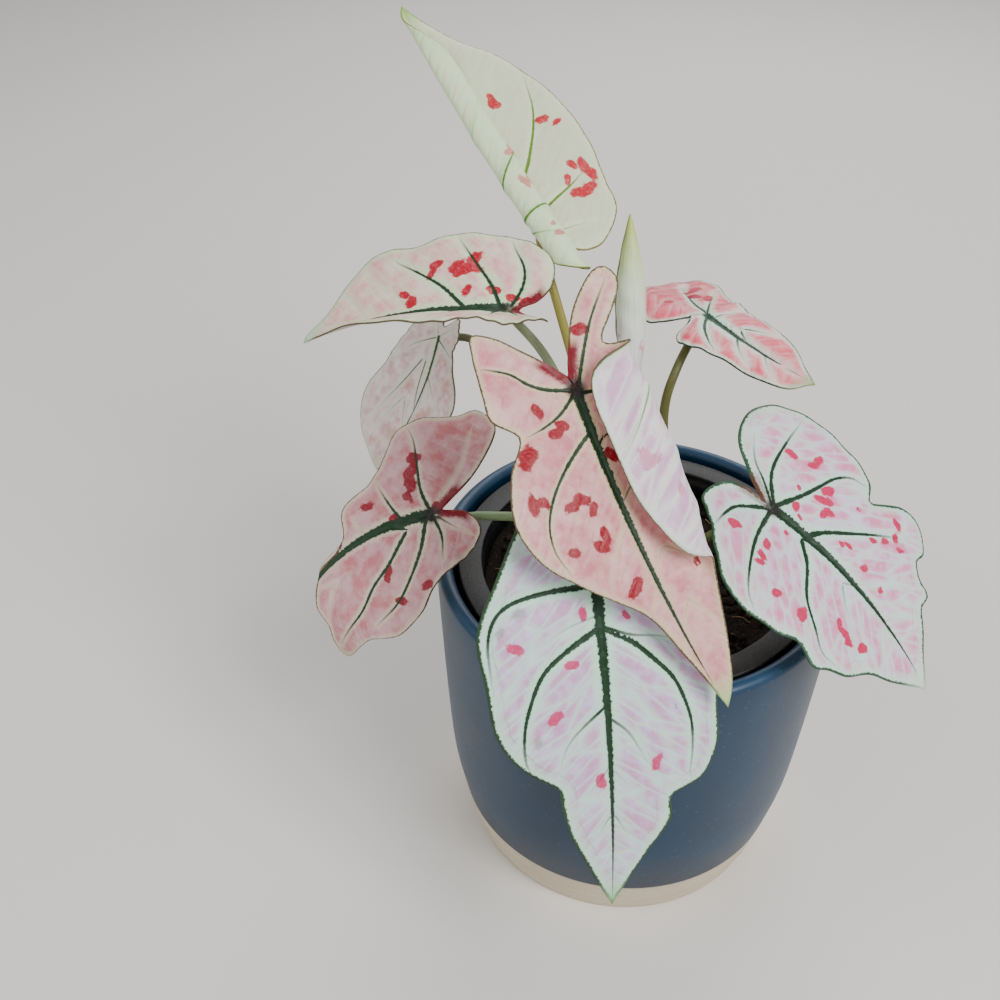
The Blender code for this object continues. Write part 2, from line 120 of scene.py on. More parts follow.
class Finish:
    """A material under construction, with one method that adds any node."""

    def __init__(self, name):
        self.material = bpy.data.materials.new(name)
        self.material.use_nodes = True
        self.tree = self.material.node_tree
        self.shader = self.tree.nodes["Principled BSDF"]

    def fill(self, node, inputs):
        for key, value in inputs.items():
            value = value.socket if isinstance(value, Number) else value
            if isinstance(value, bpy.types.NodeSocket):
                self.tree.links.new(value, node.inputs[key])
            else:
                node.inputs[key].default_value = value

    def node(self, kind, settings=None, inputs=None):
        made = self.tree.nodes.new(kind)
        for key, value in (settings or {}).items():
            setattr(made, key, value)
        self.fill(made, inputs or {})
        return made

    def surface(self, **inputs):
        self.fill(self.shader, {key.replace("_", " "): value for key, value in inputs.items()})
        return self.material

    def pair(self, layer):
        """The two numbers kept in one of the mesh's UV maps."""
        uv_map = self.node("ShaderNodeUVMap", {"uv_map": layer})
        first, second, _ = self.axes(uv_map.outputs[0])
        return first, second

    def place(self):
        return self.node("ShaderNodeTexCoord").outputs["Object"]

    def axes(self, vector):
        split = self.node("ShaderNodeSeparateXYZ", {}, {0: vector})
        return [Number(self, split.outputs[axis]) for axis in range(3)]

    def circle(self, angle):
        """The cosine and sine of an angle, so that a pattern closes round a stalk."""
        return angle.math("COSINE", angle), angle.math("SINE", angle)

    def vector(self, x, y, z):
        return self.node("ShaderNodeCombineXYZ", {}, {0: x, 1: y, 2: z}).outputs[0]

    def noise(self, vector, scale, detail=2.0, roughness=0.5):
        inputs = {"Vector": vector, "Scale": scale, "Detail": detail, "Roughness": roughness}
        return Number(self, self.node("ShaderNodeTexNoise", {}, inputs).outputs[0])

    def cells(self, vector, scale, feature="DISTANCE_TO_EDGE"):
        inputs = {"Vector": vector, "Scale": scale}
        made = self.node("ShaderNodeTexVoronoi", {"feature": feature}, inputs)
        return Number(self, made.outputs[0])

    def mix(self, below, above, share):
        """Colour above laid over colour below, as far as share says."""
        inputs = {0: share, 6: below, 7: above}
        return self.node("ShaderNodeMix", {"data_type": "RGBA"}, inputs).outputs[2]

    def bump(self, height, distance, strength=1.0):
        inputs = {"Height": height, "Distance": distance, "Strength": strength}
        return self.node("ShaderNodeBump", {}, inputs).outputs[0]


def shade(red, green, blue):
    """A colour as it is picked on screen, 0 to 255, turned into Blender's linear numbers."""
    values = [v / 255 for v in (red, green, blue)]
    linear = [v / 12.92 if v < 0.04045 else ((v + 0.055) / 1.055) ** 2.4 for v in values]
    return (*linear, 1.0)


print("shader helpers ready")

# %% [markdown]
# ## Mesh helpers
# Every organic piece starts as a flat grid from Add > Mesh > Grid, because a grid bends like a
# sheet of paper: its two directions become the ring and the ray of a leaf, or the length and
# the girth of a stalk. Points that meet are merged afterwards, which closes seams and poles.

# %% Grid pieces
def select_only(thing):
    bpy.ops.object.select_all(action="DESELECT")
    thing.select_set(True)
    bpy.context.view_layer.objects.active = thing


def close_doubles(thing):
    """Merge points that lie on each other, then drop what the merge flattened."""
    select_only(thing)
    bpy.ops.object.mode_set(mode="EDIT")
    bpy.ops.mesh.select_all(action="SELECT")
    bpy.ops.mesh.remove_doubles(threshold=2e-6)
    bpy.ops.mesh.select_all(action="SELECT")
    bpy.ops.mesh.dissolve_degenerate(threshold=1e-7)
    bpy.ops.object.mode_set(mode="OBJECT")


def set_points(thing, points):
    thing.data.vertices.foreach_set("co", (np.asarray(points) * MM).ravel())
    thing.data.update()


def get_points(thing):
    points = np.empty(3 * len(thing.data.vertices))
    thing.data.vertices.foreach_get("co", points)
    return points.reshape(-1, 3)


def corner_points(thing):
    """For each face corner: its vertex and its face."""
    corners = np.empty(len(thing.data.loops), int)
    thing.data.loops.foreach_get("vertex_index", corners)
    faces = np.repeat(np.arange(len(thing.data.polygons)), 4)
    return corners, faces


def add_layer(thing, name, first, second):
    layer = thing.data.uv_layers.new(name=name, do_init=False)
    layer.data.foreach_set("uv", np.stack([first, second], -1).ravel())


def new_grid(name, columns, rows):
    """A grid with its column and row number for each vertex."""
    bpy.ops.object.select_all(action="DESELECT")
    bpy.ops.mesh.primitive_grid_add(x_subdivisions=columns, y_subdivisions=rows, size=2.0, calc_uvs=False)
    made = bpy.context.object
    made.name = made.data.name = name
    flat = get_points(made)
    column = np.rint((flat[:, 0] + 1) / 2 * columns).astype(int)
    row = np.rint((flat[:, 1] + 1) / 2 * rows).astype(int)
    return made, column, row


def apply_modifier(thing, kind, **settings):
    select_only(thing)
    added = thing.modifiers.new(kind.lower(), kind)
    for key, value in settings.items():
        setattr(added, key, value)
    bpy.ops.object.modifier_apply(modifier=added.name)


def finish_piece(thing, replaced, slot, *materials, body="root"):
    """Smooth shading, materials, and the words to the frame: body and CAD node. The slot is not used."""
    for material in materials:
        thing.data.materials.append(material)
    select_only(thing)
    bpy.ops.object.shade_smooth()
    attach(thing, body)
    if replaced:
        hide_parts(replaced)
    print(f"{thing.name}: {len(thing.data.polygons)} faces")


print("mesh helpers ready")

# %% [markdown]
# ## The leaves' measures
# The joint, the bend and the outline are the same numbers as in the CAD source, so that both
# models agree. New here are the veins: each is a line of points on the flat blade, (distance
# along the midrib, distance out from it), listed from the notch to the tip, after its strength.
# Spots are (along, out to the left, radius), and a negative radius is a grey smudge on most leaves and a white
# painted highlight on back_right.

# %% Leaf tables
@dataclass
class Leaf:
    name: str
    joint: tuple
    heading: float
    pitch: float
    length: float
    left: tuple
    right: tuple
    foot: tuple
    way: tuple = ()
    arch: float = 0.0
    hook: float = 0.0
    sweep: float = 0.0
    bank: float = 0.0
    fold: tuple = (0.0, 0.0)
    curl: tuple = (0.0, 0.0)
    rolled_start: float = 0.0
    rolled_slope: float = 0.0
    rolled_radius: float = 0.0
    rolled_turn: float = 360.0
    rolled_fade: float = 0.0
    wave: float = 0.8
    waves: int = 6
    bow: float = 0.0
    veins_left: tuple = ()
    veins_right: tuple = ()
    spots: tuple = ()


LEAVES = (
    Leaf(
        name="front",
        joint=(-11, -61, 165),
        heading=-69.6,
        pitch=-53.7,
        length=111,
        arch=30,
        bank=3,
        fold=(6, 6),
        curl=(-14, -14),
        left=((111, 0), (102, 4), (90, 11), (81, 17), (76, 19), (70, 17), (67, 27), (62, 31), (55, 34),
              (43, 35), (28, 36), (10, 36), (-8, 33), (-23, 26), (-31, 17), (-27, 8), (-14, 3), (-4, 0)),
        right=((111, 0), (97, 6), (85, 11), (77, 14), (67, 16), (61, 17), (54, 26), (46, 32), (38, 35),
               (26, 36), (10, 37), (-5, 30), (-16, 24), (-26, 17), (-25, 8), (-13, 3), (-4, 0)),
        foot=(-2, -9),
        way=((-6, -45, 153), (-4, -24, 138)),
        veins_left=(
            (0.8, ((-1, 1), (-10, 7), (-20, 14), (-28, 16))),
            (0.9, ((0, 2), (-5, 15), (-5, 25), (2, 31), (13, 33))),
            (0.5, ((13, 2), (16, 9), (18, 19), (23, 29))),
            (1.0, ((13, 1), (18, 9), (25, 16), (31, 21), (38, 24), (46, 26), (55, 26), (62, 25))),
            (0.2, ((30, 1), (36, 9), (46, 16), (56, 19), (62, 20))),
            (0.45, ((41, 1), (46, 6), (54, 10), (64, 14))),
            (0.3, ((58, 1), (66, 7), (74, 12))),
            (0.35, ((74, 1), (82, 5), (88, 8))),
        ),
        veins_right=(
            (0.8, ((-1, 1), (-10, 7), (-18, 13), (-24, 16))),
            (1.0, ((0, 2), (0, 13), (1, 22), (3, 28), (7, 32), (14, 34), (24, 34))),
            (0.35, ((9, 1), (12, 12), (20, 24), (30, 30))),
            (1.0, ((13, 1), (18, 11), (24, 19), (34, 24), (42, 26), (50, 26), (56, 24))),
            (0.5, ((37, 1), (42, 8), (47, 13), (55, 16), (61, 16))),
            (0.35, ((57, 1), (63, 6), (71, 11))),
            (0.35, ((74, 1), (80, 5), (86, 8))),
        ),
        spots=((8, -5, 1.6), (10, 8, 1.1), (22, -10, 1.8), (37, -16, 2.1), (57, 14, 1.9), (60, -3.5, 2.2),
               (15, -26, 2.0), (5, -24, -2.6), (10, -30, -2.2), (44, -22, -2.4), (40, 21, -1.6)),
    ),
    Leaf(
        name="centre",
        joint=(-21.8, -34, 214.5),
        heading=-36.6,
        pitch=-40,
        length=106,
        arch=22,
        bank=-20,
        fold=(5, 8),
        rolled_start=14,
        rolled_slope=-0.12,
        rolled_radius=4.5,
        rolled_turn=185,
        rolled_fade=-14,
        left=((106, 0), (98, 4), (86, 7), (68, 11), (61, 15), (56, 25), (46, 32), (34, 37), (20, 39),
              (4, 40), (-2, 36), (-3, 26), (-6, 16), (-9, 15), (-14, 22), (-20, 28), (-26, 27),
              (-26, 21), (-18, 10), (-4, 0)),
        right=((106, 0), (97, 3), (83, 8), (69, 13), (59, 21), (52, 27), (41, 35), (32, 38), (22, 37),
               (12, 31), (4, 23), (-4, 28), (-14, 25), (-22, 22), (-28, 19), (-24, 13), (-17, 8),
               (-11, 4), (-4, 0)),
        foot=(-4, -2.5),
        way=((-16, -20, 195), (-9, -9, 160)),
        wave=0.6,
        bow=-6.5,
        veins_left=(
            (1.0, ((0, 1), (-8, 8), (-15, 15), (-22, 24))),
            (0.9, ((2, 1), (6, 12), (10, 22), (18, 30), (24, 37))),
            (0.5, ((16, 1), (24, 12), (32, 24), (38, 33))),
            (0.4, ((32, 1), (40, 12), (48, 22), (52, 28))),
            (0.3, ((52, 1), (60, 8), (66, 10))),
            (0.3, ((70, 1), (77, 5), (82, 7))),
        ),
        veins_right=(
            (1.1, ((0, 1), (-4, 8), (-8, 12), (-13, 15), (-18, 21))),
            (1.0, ((1, 1), (4, 8), (5, 14), (5, 20))),
            (1.0, ((12, 1), (15, 9), (19, 17), (24, 24), (30, 29), (37, 31), (44, 30))),
            (0.3, ((36, 2), (42, 10), (50, 18), (57, 21))),
            (0.3, ((55, 1), (62, 8), (68, 12))),
            (0.3, ((72, 1), (79, 5), (84, 7))),
        ),
        spots=((0, -14, 1.9), (7, -10, 1.9), (8, -13, 2.0), (10, -24, 3.2), (22, -30, 2.4), (23, -27, 2.0),
               (28, -16, 2.2), (28.5, -20, 2.2), (32, -14.5, 1.7), (40, -15, 2.1), (42, -18, 2.4),
               (40, -26, 1.8), (58, -14, 2.4), (60, 7, 1.6), (22, -1, 2.2), (-14, 10, 2.2),
               (28, 30, 2.4), (25, 31, 1.8), (38, 23, 1.8)),
    ),
    Leaf(
        name="right",
        joint=(41.7, -11, 160.5),
        heading=-28.5,
        pitch=-29.7,
        length=76,
        arch=12,
        fold=(4, 4),
        left=((76, 0), (70, 6), (64, 13), (58, 20), (57, 27), (51, 29), (47, 34), (47, 40), (38, 47),
              (30, 45), (23, 35), (18, 41), (7, 44), (-9, 45), (-22, 37), (-28, 24), (-24, 12),
              (-14, 5), (-4, 0)),
        right=((76, 0), (65, 11), (57, 18), (51, 28), (45, 33), (40, 38), (32, 36), (24, 40), (8, 42),
               (-4, 35), (-12, 26), (-19, 19), (-18, 9), (-12, 3), (-4, 0)),
        foot=(8, -4),
        way=((28, -7, 148),),
        bow=4,
        veins_left=(
            (0.6, ((-1, 1), (-8, 6), (-15, 10), (-20, 16), (-24, 22))),
            (0.9, ((-1, 2), (-7, 9), (-10, 16), (-12, 28), (-13, 38))),
            (1.0, ((0, 2), (4, 14), (6, 22), (8, 30), (12, 36), (17, 38))),
            (1.0, ((13, 1), (17, 9), (23, 17), (30, 26), (36, 33))),
            (0.3, ((33, 1), (42, 12), (49, 24))),
            (0.3, ((49, 1), (54, 10), (58, 18))),
        ),
        veins_right=(
            (0.35, ((-1, 1), (-9, 3), (-16, 9), (-19, 16))),
            (1.0, ((-1, 1), (-5, 6), (-9, 12), (-10, 18), (-10, 25))),
            (0.9, ((0, 2), (2, 15), (6, 26), (11, 35), (16, 39))),
            (0.9, ((14, 1), (20, 7), (26, 18), (34, 25), (40, 30), (46, 29))),
            (0.35, ((33, 1), (39, 7), (45, 12), (51, 17), (55, 18))),
            (0.2, ((52, 1), (59, 8), (62, 12))),
        ),
        spots=((-8, 24, 2.0), (0, 27, 1.8), (0, 30, 1.8), (5, 8, 1.6), (8, 6, 1.3), (9, 18, 2.0),
               (9, 23, 2.4), (13, 14, 1.6), (12, 20, 1.6), (14, 17, 1.6), (-6, -20, 2.2), (8, -4, 1.1), (6, -15, 1.7),
               (7, -20, 1.8), (8, -23, 1.8), (18, -28, 1.8), (28, -26, 2.6), (24, 11, 1.2), (26, 13, 1.2),
               (31, 24, 1.5), (34, 28, 1.4), (36, 33, 1.6), (34, 37, 1.8), (40, 30, 1.3), (34, 11, 1.6),
               (43, 11, 1.6), (39, -14, 1.6), (42, -16, 2.0), (45, -17, 1.6), (50, -13, 2.0), (20, 28, 1.0),
               (1, 15, 1.2)),
    ),
    Leaf(
        name="left",
        joint=(-68.6, -18, 150),
        heading=201.7,
        pitch=-26.6,
        length=70,
        arch=20,
        hook=45,
        sweep=35,
        bank=30,
        left=((52, 0), (56, 7), (63, 8), (70, 11), (66, 15), (56, 19), (46, 22), (34, 28), (20, 27),
              (9, 22), (-6, 18), (-13, 13), (-11, 5), (-4, 0)),
        right=((52, 0), (47, 4), (42, 7), (34, 8), (30, 11), (25, 19), (15, 21), (6, 28), (0, 33),
               (-10, 33), (-21, 28), (-29, 26), (-32, 16), (-20, 6), (-4, 0)),
        foot=(-9.5, -6),
        way=((-60, -17, 149.3), (-50, -15, 149.5), (-32, -12, 146)),
        wave=1.0,
        bow=-6.5,
        veins_left=(
            (0.5, ((-1, 1), (-5, 7), (-9, 12))),
            (0.8, ((0, 1), (0, 8), (3, 16))),
            (1.0, ((3, 1), (9, 9), (18, 16), (27, 20), (38, 21))),
            (0.9, ((11, 1), (21, 7), (30, 10), (40, 14), (51, 14), (62, 12))),
            (0.3, ((30, -4), (42, 1), (52, 6))),
        ),
        veins_right=(
            (0.3, ((-1, 1), (-8, 6), (-15, 10), (-23, 19))),
            (0.9, ((0, 1), (0, 10), (-3, 20), (-5, 27), (-5, 32))),
            (0.8, ((9, 1), (11, 8), (12, 17), (12, 20))),
            (0.4, ((20, 4), (24, 9), (24, 14))),
        ),
        spots=((-2, -21, 2.6), (0, -18, 2.6), (2, -14, 2.6), (5, -10, 1.8), (18, -14, 1.9), (12, -6, 1.8),
               (22, 9, 1.6), (24, 11, 1.6), (24, 20, 2.0), (12, 21, 2.0), (-2, -2, 1.8), (-7, 1, 1.4)),
    ),
    Leaf(
        name="upper_left",
        joint=(-46.4, -3.2, 221),
        heading=174,
        pitch=-2.6,
        length=72,
        arch=30,
        fold=(20, 24),
        left=((73, 0), (65, 5), (50, 12), (37, 16), (24, 18), (8, 19), (-6, 16), (-15, 10), (-11, 4),
              (-4, 0)),
        right=((73, 0), (72, 4), (65, 10), (53, 25), (43, 28), (34, 27), (20, 31), (6, 30), (-3, 27),
               (-11, 20), (-11, 9), (-4, 0)),
        foot=(-10.5, 1),
        way=((-32.5, -3, 203), (-18, 0, 165)),
        bow=2,
        veins_left=(
            (0.6, ((-1, 1), (-6, 6), (-11, 9))),
            (0.6, ((3, 1), (4, 9), (8, 17))),
            (0.6, ((14, 1), (20, 8), (28, 14))),
            (0.4, ((28, 1), (36, 8), (44, 12))),
            (0.3, ((42, 1), (50, 6), (56, 8))),
        ),
        veins_right=(
            (0.9, ((-1, 2), (-3, 10), (-2, 17), (2, 24), (4, 28))),
            (1.0, ((2, 1), (7, 10), (13, 18), (20, 28))),
            (1.0, ((14, 1), (22, 9), (30, 15), (40, 22))),
            (0.15, ((33, 1), (43, 12), (50, 20))),
            (0.15, ((45, 1), (52, 8), (58, 14))),
        ),
        spots=((16, -16, 3.6), (14.5, -20, 2.8), (14, -7, 2.1), (18.5, -14.5, 1.8), (6, -8, 2.0),
               (26, -18, 2.0), (27, -15, 1.8), (32, -4, 2.4), (34.5, -7.5, 1.7), (-1, -5, 1.8),
               (-5, -4, 1.8), (-8, -3, 1.3)),
    ),
    Leaf(
        name="back_left",
        joint=(-76.8, 40, 184),
        heading=229.9,
        pitch=-44.8,
        length=54,
        arch=20,
        fold=(5, 5),
        left=((54, 0), (49, 6), (42, 13), (32, 21), (22, 25), (14, 22), (8, 16), (2, 11), (-5, 8),
              (-9, 4), (-4, 0)),
        right=((54, 0), (47, 10), (38, 17), (28, 18), (17, 15), (5, 14), (-6, 11), (-12, 6), (-4, 0)),
        foot=(-9, 8),
        way=((-62, 42, 181), (-38, 31, 162)),
        wave=0.5,
        bow=7,
        veins_left=(
            (0.4, ((-1, 1), (-7, 6), (-10, 8))),
            (0.5, ((1, 1), (4, 10), (8, 20))),
            (0.5, ((12, 1), (13, 4), (17, 10), (24, 19))),
            (0.4, ((26, 1), (32, 7), (37, 12))),
        ),
        veins_right=(
            (0.4, ((-1, 1), (-6, 5), (-8, 7))),
            (0.5, ((1, 1), (6, 7), (14, 13))),
            (0.6, ((10, 1), (20, 4), (30, 8), (38, 11))),
            (0.4, ((26, 1), (34, 5), (42, 8))),
        ),
    ),
    Leaf(
        name="top",
        joint=(-42.4, 35, 230.5),
        heading=133.5,
        pitch=28.3,
        length=95,
        arch=-8,
        bank=22,
        fold=(75, -4),
        rolled_start=0.5,
        rolled_radius=5,
        left=((95, 0), (84, 6), (70, 13), (55, 19), (38, 23), (20, 25), (4, 25), (-8, 25), (-17, 23),
              (-22, 18), (-23, 12), (-18, 6), (-11, 2), (-4, 0)),
        right=((95, 0), (86, 4), (75, 11), (63, 21), (51, 27), (38, 31), (20, 32), (4, 29), (-8, 26),
               (-16, 15), (-13, 6), (-4, 0)),
        foot=(-2.5, 10),
        way=((-26, 21, 187),),
        wave=0.3,
        veins_left=(
            (0.5, ((-1, 1), (-6, 9), (-10, 16))),
            (0.8, ((2, 1), (3, 8), (4, 16), (4, 24))),
            (0.7, ((14, 1), (20, 8), (27, 16), (32, 22))),
            (0.4, ((34, 1), (44, 10), (52, 16))),
        ),
        veins_right=(
            (0.5, ((-3, 1), (-5, 7), (-6, 12), (-8, 20))),
            (0.9, ((2, 1), (5, 8), (8, 18), (11, 25))),
            (0.9, ((14, 1), (20, 8), (26, 13), (33, 18), (41, 22), (53, 25))),
            (0.3, ((38, 1), (48, 10), (58, 16))),
        ),
        spots=((49, -11, 1.9), (46.5, -11, 1.9), (34, -22, 2.0), (31, -26, 1.5), (12, -25, 2.3),
               (14, -22, 1.7),
               (4, -19, 2.6), (4, -22, 2.4), (10, -18, 1.6), (8, -26, 2.2), (28, 16, 2.6), (26, 13, 2.0),
               (15, 17, 3.0), (14, 12, 2.2), (10, 20, 3.0), (-4, 12, 1.2), (-8, 12, 1.4)),
    ),
    Leaf(
        name="back_right",
        joint=(15, 42, 200),
        heading=-45.8,
        pitch=9.9,
        length=51,
        arch=24,
        bank=-6,
        fold=(-10, 0),
        left=((51, 0), (44, 2), (36, 6), (26, 8), (15, 11), (4, 13), (-8, 18), (-18, 22), (-27, 20),
              (-33, 13), (-35, 6), (-33, 0)),
        right=((51, 0), (47, 9), (38, 14), (28, 16), (18, 18), (9, 19), (3, 16), (-2, 5), (-8, 12),
               (-15, 14), (-24, 9), (-31, 4), (-33, 0)),
        foot=(8, 8),
        way=((7, 24, 188), (4.5, 19, 172), (8, 13, 145)),
        bow=-4,
        veins_left=(
            (0.7, ((-1, 1), (-8, 3), (-16, 7), (-25, 12))),
            (0.6, ((0, 1), (-6, 8), (-13, 17))),
            (0.5, ((5, 1), (6, 6), (6, 11))),
            (0.5, ((18, 1), (24, 4), (28, 6))),
        ),
        veins_right=(
            (0.4, ((-1, 1), (-4, 5), (-5, 9))),
            (0.9, ((2, 1), (7, 7), (14, 12), (20, 15))),
            (0.6, ((16, 1), (24, 8), (32, 12))),
            (0.5, ((28, 1), (36, 7), (42, 10))),
        ),
        # the negative spot at (-25, 14) is a painted highlight: a white sheen patch on the left lobe
        spots=((-14, 8, 2.2), (-16, -2, 1.4), (-18, 12, 2.6), (-9, 10, 2.2), (-25, 14, -2.8)),
    ),
)
print(len(LEAVES), "opened leaves")

# %% [markdown]
# ## Bending a blade
# A blade is worked out flat and then laid on a curved midrib. Bend modifiers could do one curl,
# but a caladium leaf arches, folds along the midrib and rolls its young halves all at once, so
# the bend is written as a formula: walk out from the midrib in short steps, and turn each step
# a little more.

# %% Blade shape
def ease(x):
    x = np.clip(x, 0.0, 1.0)
    return x * x * (3.0 - 2.0 * x)


def smooth_line(points, count):
    """Evenly spaced points along a Catmull-Rom curve through the given points."""
    given = np.asarray(points, float)
    padded = np.vstack([2 * given[0] - given[1], given, 2 * given[-1] - given[-2]])
    t = np.linspace(0.0, 1.0, 16, endpoint=False)[:, None]
    pieces = []
    for p0, p1, p2, p3 in zip(padded, padded[1:], padded[2:], padded[3:]):
        bend_2 = 2 * p0 - 5 * p1 + 4 * p2 - p3
        bend_3 = -p0 + 3 * p1 - 3 * p2 + p3
        pieces.append(0.5 * (2 * p1 + (p2 - p0) * t + bend_2 * t**2 + bend_3 * t**3))
    line = np.vstack(pieces + [given[-1:]])
    steps = np.linalg.norm(np.diff(line, axis=0), axis=1)
    along = np.concatenate([[0.0], np.cumsum(steps)])
    places = np.linspace(0.0, along[-1], count)
    return np.stack([np.interp(places, along, line[:, i]) for i in range(line.shape[1])], axis=-1)


def unit(vectors):
    return vectors / np.linalg.norm(vectors, axis=-1, keepdims=True)


def midrib_frame(leaf, s):
    """Points on the midrib at distances s, with the directions along it, out of the face and left."""
    grid = np.linspace(-0.75 * leaf.length, 1.02 * leaf.length, 178)
    share = grid / leaf.length
    pitch = radians(1) * (
        leaf.pitch - leaf.arch * np.clip(share, 0, 1.1) - leaf.hook * ease((share - 0.55) / 0.45)
    )
    heading = radians(1) * (leaf.heading + leaf.sweep * np.clip(share, 0, 1) ** 2)
    along = np.stack([np.cos(pitch) * np.cos(heading), np.cos(pitch) * np.sin(heading), np.sin(pitch)], -1)
    level = np.stack([-np.sin(heading), np.cos(heading), 0 * heading], -1)
    bank = radians(leaf.bank)
    face = np.cross(along, level) * cos(bank) + level * sin(bank)
    steps = (along[1:] + along[:-1]) / 2 * np.diff(grid)[:, None]
    place = np.vstack([np.zeros(3), np.cumsum(steps, axis=0)])

    def at(values, where):
        return np.stack([np.interp(where, grid, values[:, i]) for i in range(3)], axis=-1)

    place = place - at(place, 0.0) + np.asarray(leaf.joint, float)
    along, face = unit(at(along, s)), at(face, s)
    face = unit(face - along * (face * along).sum(-1, keepdims=True))
    return at(place, s), along, face, np.cross(face, along)


def bend_blade(leaf, s, t):
    """Places of the flat blade's points (s along the midrib, t to its left) on the bent blade."""
    place, _, face, left = midrib_frame(leaf, s)
    out = np.abs(t)
    on_left = t > 0
    fold = np.where(on_left, leaf.fold[0], leaf.fold[1])
    curl = np.where(on_left, leaf.curl[0], leaf.curl[1])
    width = np.where(on_left, np.max(leaf.left, axis=0)[1], np.max(leaf.right, axis=0)[1])
    start = leaf.rolled_start + leaf.rolled_slope * np.clip(s, 0, None)
    fade = ease(1 - s / leaf.rolled_fade) if leaf.rolled_fade else 1.0
    steps = 24
    across, raised = np.zeros_like(out), np.zeros_like(out)
    for step in range(steps):
        here = out * (step + 0.5) / steps
        angle = radians(1) * (fold * ease(here / 7.0 + 0.15) + curl * here / width)
        if leaf.rolled_radius:
            roll = np.clip((here - start) / leaf.rolled_radius, 0, radians(leaf.rolled_turn))
            angle = angle + np.where(on_left, fade * roll, 0)
        across += np.cos(angle) * out / steps
        raised += np.sin(angle) * out / steps
    return place + left * (np.sign(t) * across)[..., None] + face * raised[..., None]


print("blade shape ready")

# %% [markdown]
# ## Distances on a blade
# The patterns need to know how far a place is from the midrib, from the nearest side vein, from
# the margin and from the nearest spot. A painted picture could hold that, but a few numbers on
# each face corner are lighter and never blur. A side vein's distance has a sign, and all
# corners of one face use the same vein, so the vein's middle stays sharp between vertices.

# %% Distance fields
def line_distance(line, s, t):
    """Distance to a line of points, positive on the side towards the tip, and the way along it."""
    best = np.full(s.shape, 1e9)
    side = np.ones(s.shape)
    along = np.zeros(s.shape)
    start = 0.0
    for (s0, t0), (s1, t1) in zip(line, line[1:]):
        ds, dt = s1 - s0, t1 - t0
        length = np.hypot(ds, dt)
        share = np.clip(((s - s0) * ds + (t - t0) * dt) / length**2, 0, 1)
        off_s, off_t = s - s0 - share * ds, t - t0 - share * dt
        distance = np.hypot(off_s, off_t)
        nearer = distance < best
        best = np.where(nearer, distance, best)
        side = np.where(nearer, np.sign(dt * (s - s0) - ds * (t - t0)), side)
        along = np.where(nearer, start + share * length, along)
        start += length
    return best * np.where(side == 0, 1, side), along


def midrib_offset(leaf, s):
    share = np.clip(s / leaf.length, 0, 1)
    return leaf.bow * 4 * share * (1 - share)


LEAST_TURN = 0.004


def opened(points):
    """Half an outline with its rays always turning one way, so that no face folds over another."""
    angle = np.unwrap(np.arctan2(points[:, 1], points[:, 0]))
    turned = np.concatenate([[0.0], np.cumsum(np.maximum(np.diff(angle), LEAST_TURN))])
    angle = angle[0] + turned * (angle[-1] - angle[0]) / turned[-1]
    reach = np.hypot(points[:, 0], points[:, 1])
    return np.stack([reach * np.cos(angle), reach * np.sin(angle)], axis=-1)


def blade_loop(leaf, rays):
    """The margin from the notch round the left half to the tip and back along the right half."""
    left = opened(smooth_line(leaf.left, rays + 1))[::-1]
    right = opened(smooth_line(leaf.right, rays + 1)) * (1, -1)
    return np.vstack([left, right[1:]])


def rib_distance(leaf, s, t):
    off = t - midrib_offset(leaf, s)
    return np.where(s < 0, np.hypot(s, t), np.abs(off))


def edge_distance(loop, s, t):
    distance, _ = line_distance(loop, s, t)
    return np.abs(distance)


def nearest_vein(lines, s, t, face_of, faces):
    """Signed distance, way along and strength of the vein nearest to each face.

    The strength falls to 0.3 of itself at the vein's end, so that width and glow taper with it.
    """
    tables = [line_distance(line, s, t) for _, line in lines]
    near = np.stack([np.abs(distance) for distance, _ in tables])
    mean = np.zeros((len(lines), faces))
    for row in range(len(lines)):
        mean[row] = np.bincount(face_of, near[row], faces)
    chosen = mean.argmin(axis=0)[face_of]
    pick = np.arange(len(s))
    distance = np.stack([d for d, _ in tables])[chosen, pick]
    along = np.stack([a for _, a in tables])[chosen, pick]
    strength = np.array([strength for strength, _ in lines])[chosen]
    length = np.array([np.linalg.norm(np.diff(line, axis=0), axis=1).sum() for _, line in lines])[chosen]
    return distance, along, strength * (1 - 0.7 * np.clip(along / length, 0, 1))


def spot_field(leaf, s, t):
    """A cone of height 1 on each spot, 0.5 at its rim, and below zero on smudges and painted highlights."""
    field = np.zeros(s.shape)
    smudge_and_sheen = np.zeros(s.shape)
    for number, (along, out, radius) in enumerate(leaf.spots):
        turn = radians(40 * number)
        ds, dt = s - along, t - out
        a = ds * cos(turn) + dt * sin(turn)
        b = dt * cos(turn) - ds * sin(turn)
        cone = 1 - np.hypot(0.85 * a, 1.4 * b) / (2 * abs(radius))
        if radius > 0:
            field = np.maximum(field, cone)
        else:
            smudge_and_sheen = np.maximum(smudge_and_sheen, cone)
    return np.where(field > 0, field, -smudge_and_sheen)


print("distance fields ready")

# %% [markdown]
# ## Building the blades
# On the real leaf the tissue swells between the veins, which sink into the upper face and stand
# out underneath. That relief is modelled in the mesh, because it shapes the outline of the
# shadows, and Solidify then gives the sheet its thickness and a second material below.

# %% Blades
RAYS, RINGS = 100, 46
MARGIN_INSET = 0.994
BLADE_SHEET = 0.5
VEIN_SINK = 0.4
PANEL_SWELL = 0.8
NUDGE = 0.3


def blade_relief(leaf, rib, vein, strength, edge):
    sink = np.exp(-((rib / 1.3) ** 2)) + 0.8 * strength * np.exp(-((vein / 1.1) ** 2))
    swell = (1 - np.exp(-rib / 5)) * (1 - np.exp(-np.abs(vein) / 3.5)) * np.clip(edge / 4, 0, 1)
    return PANEL_SWELL * swell - VEIN_SINK * sink


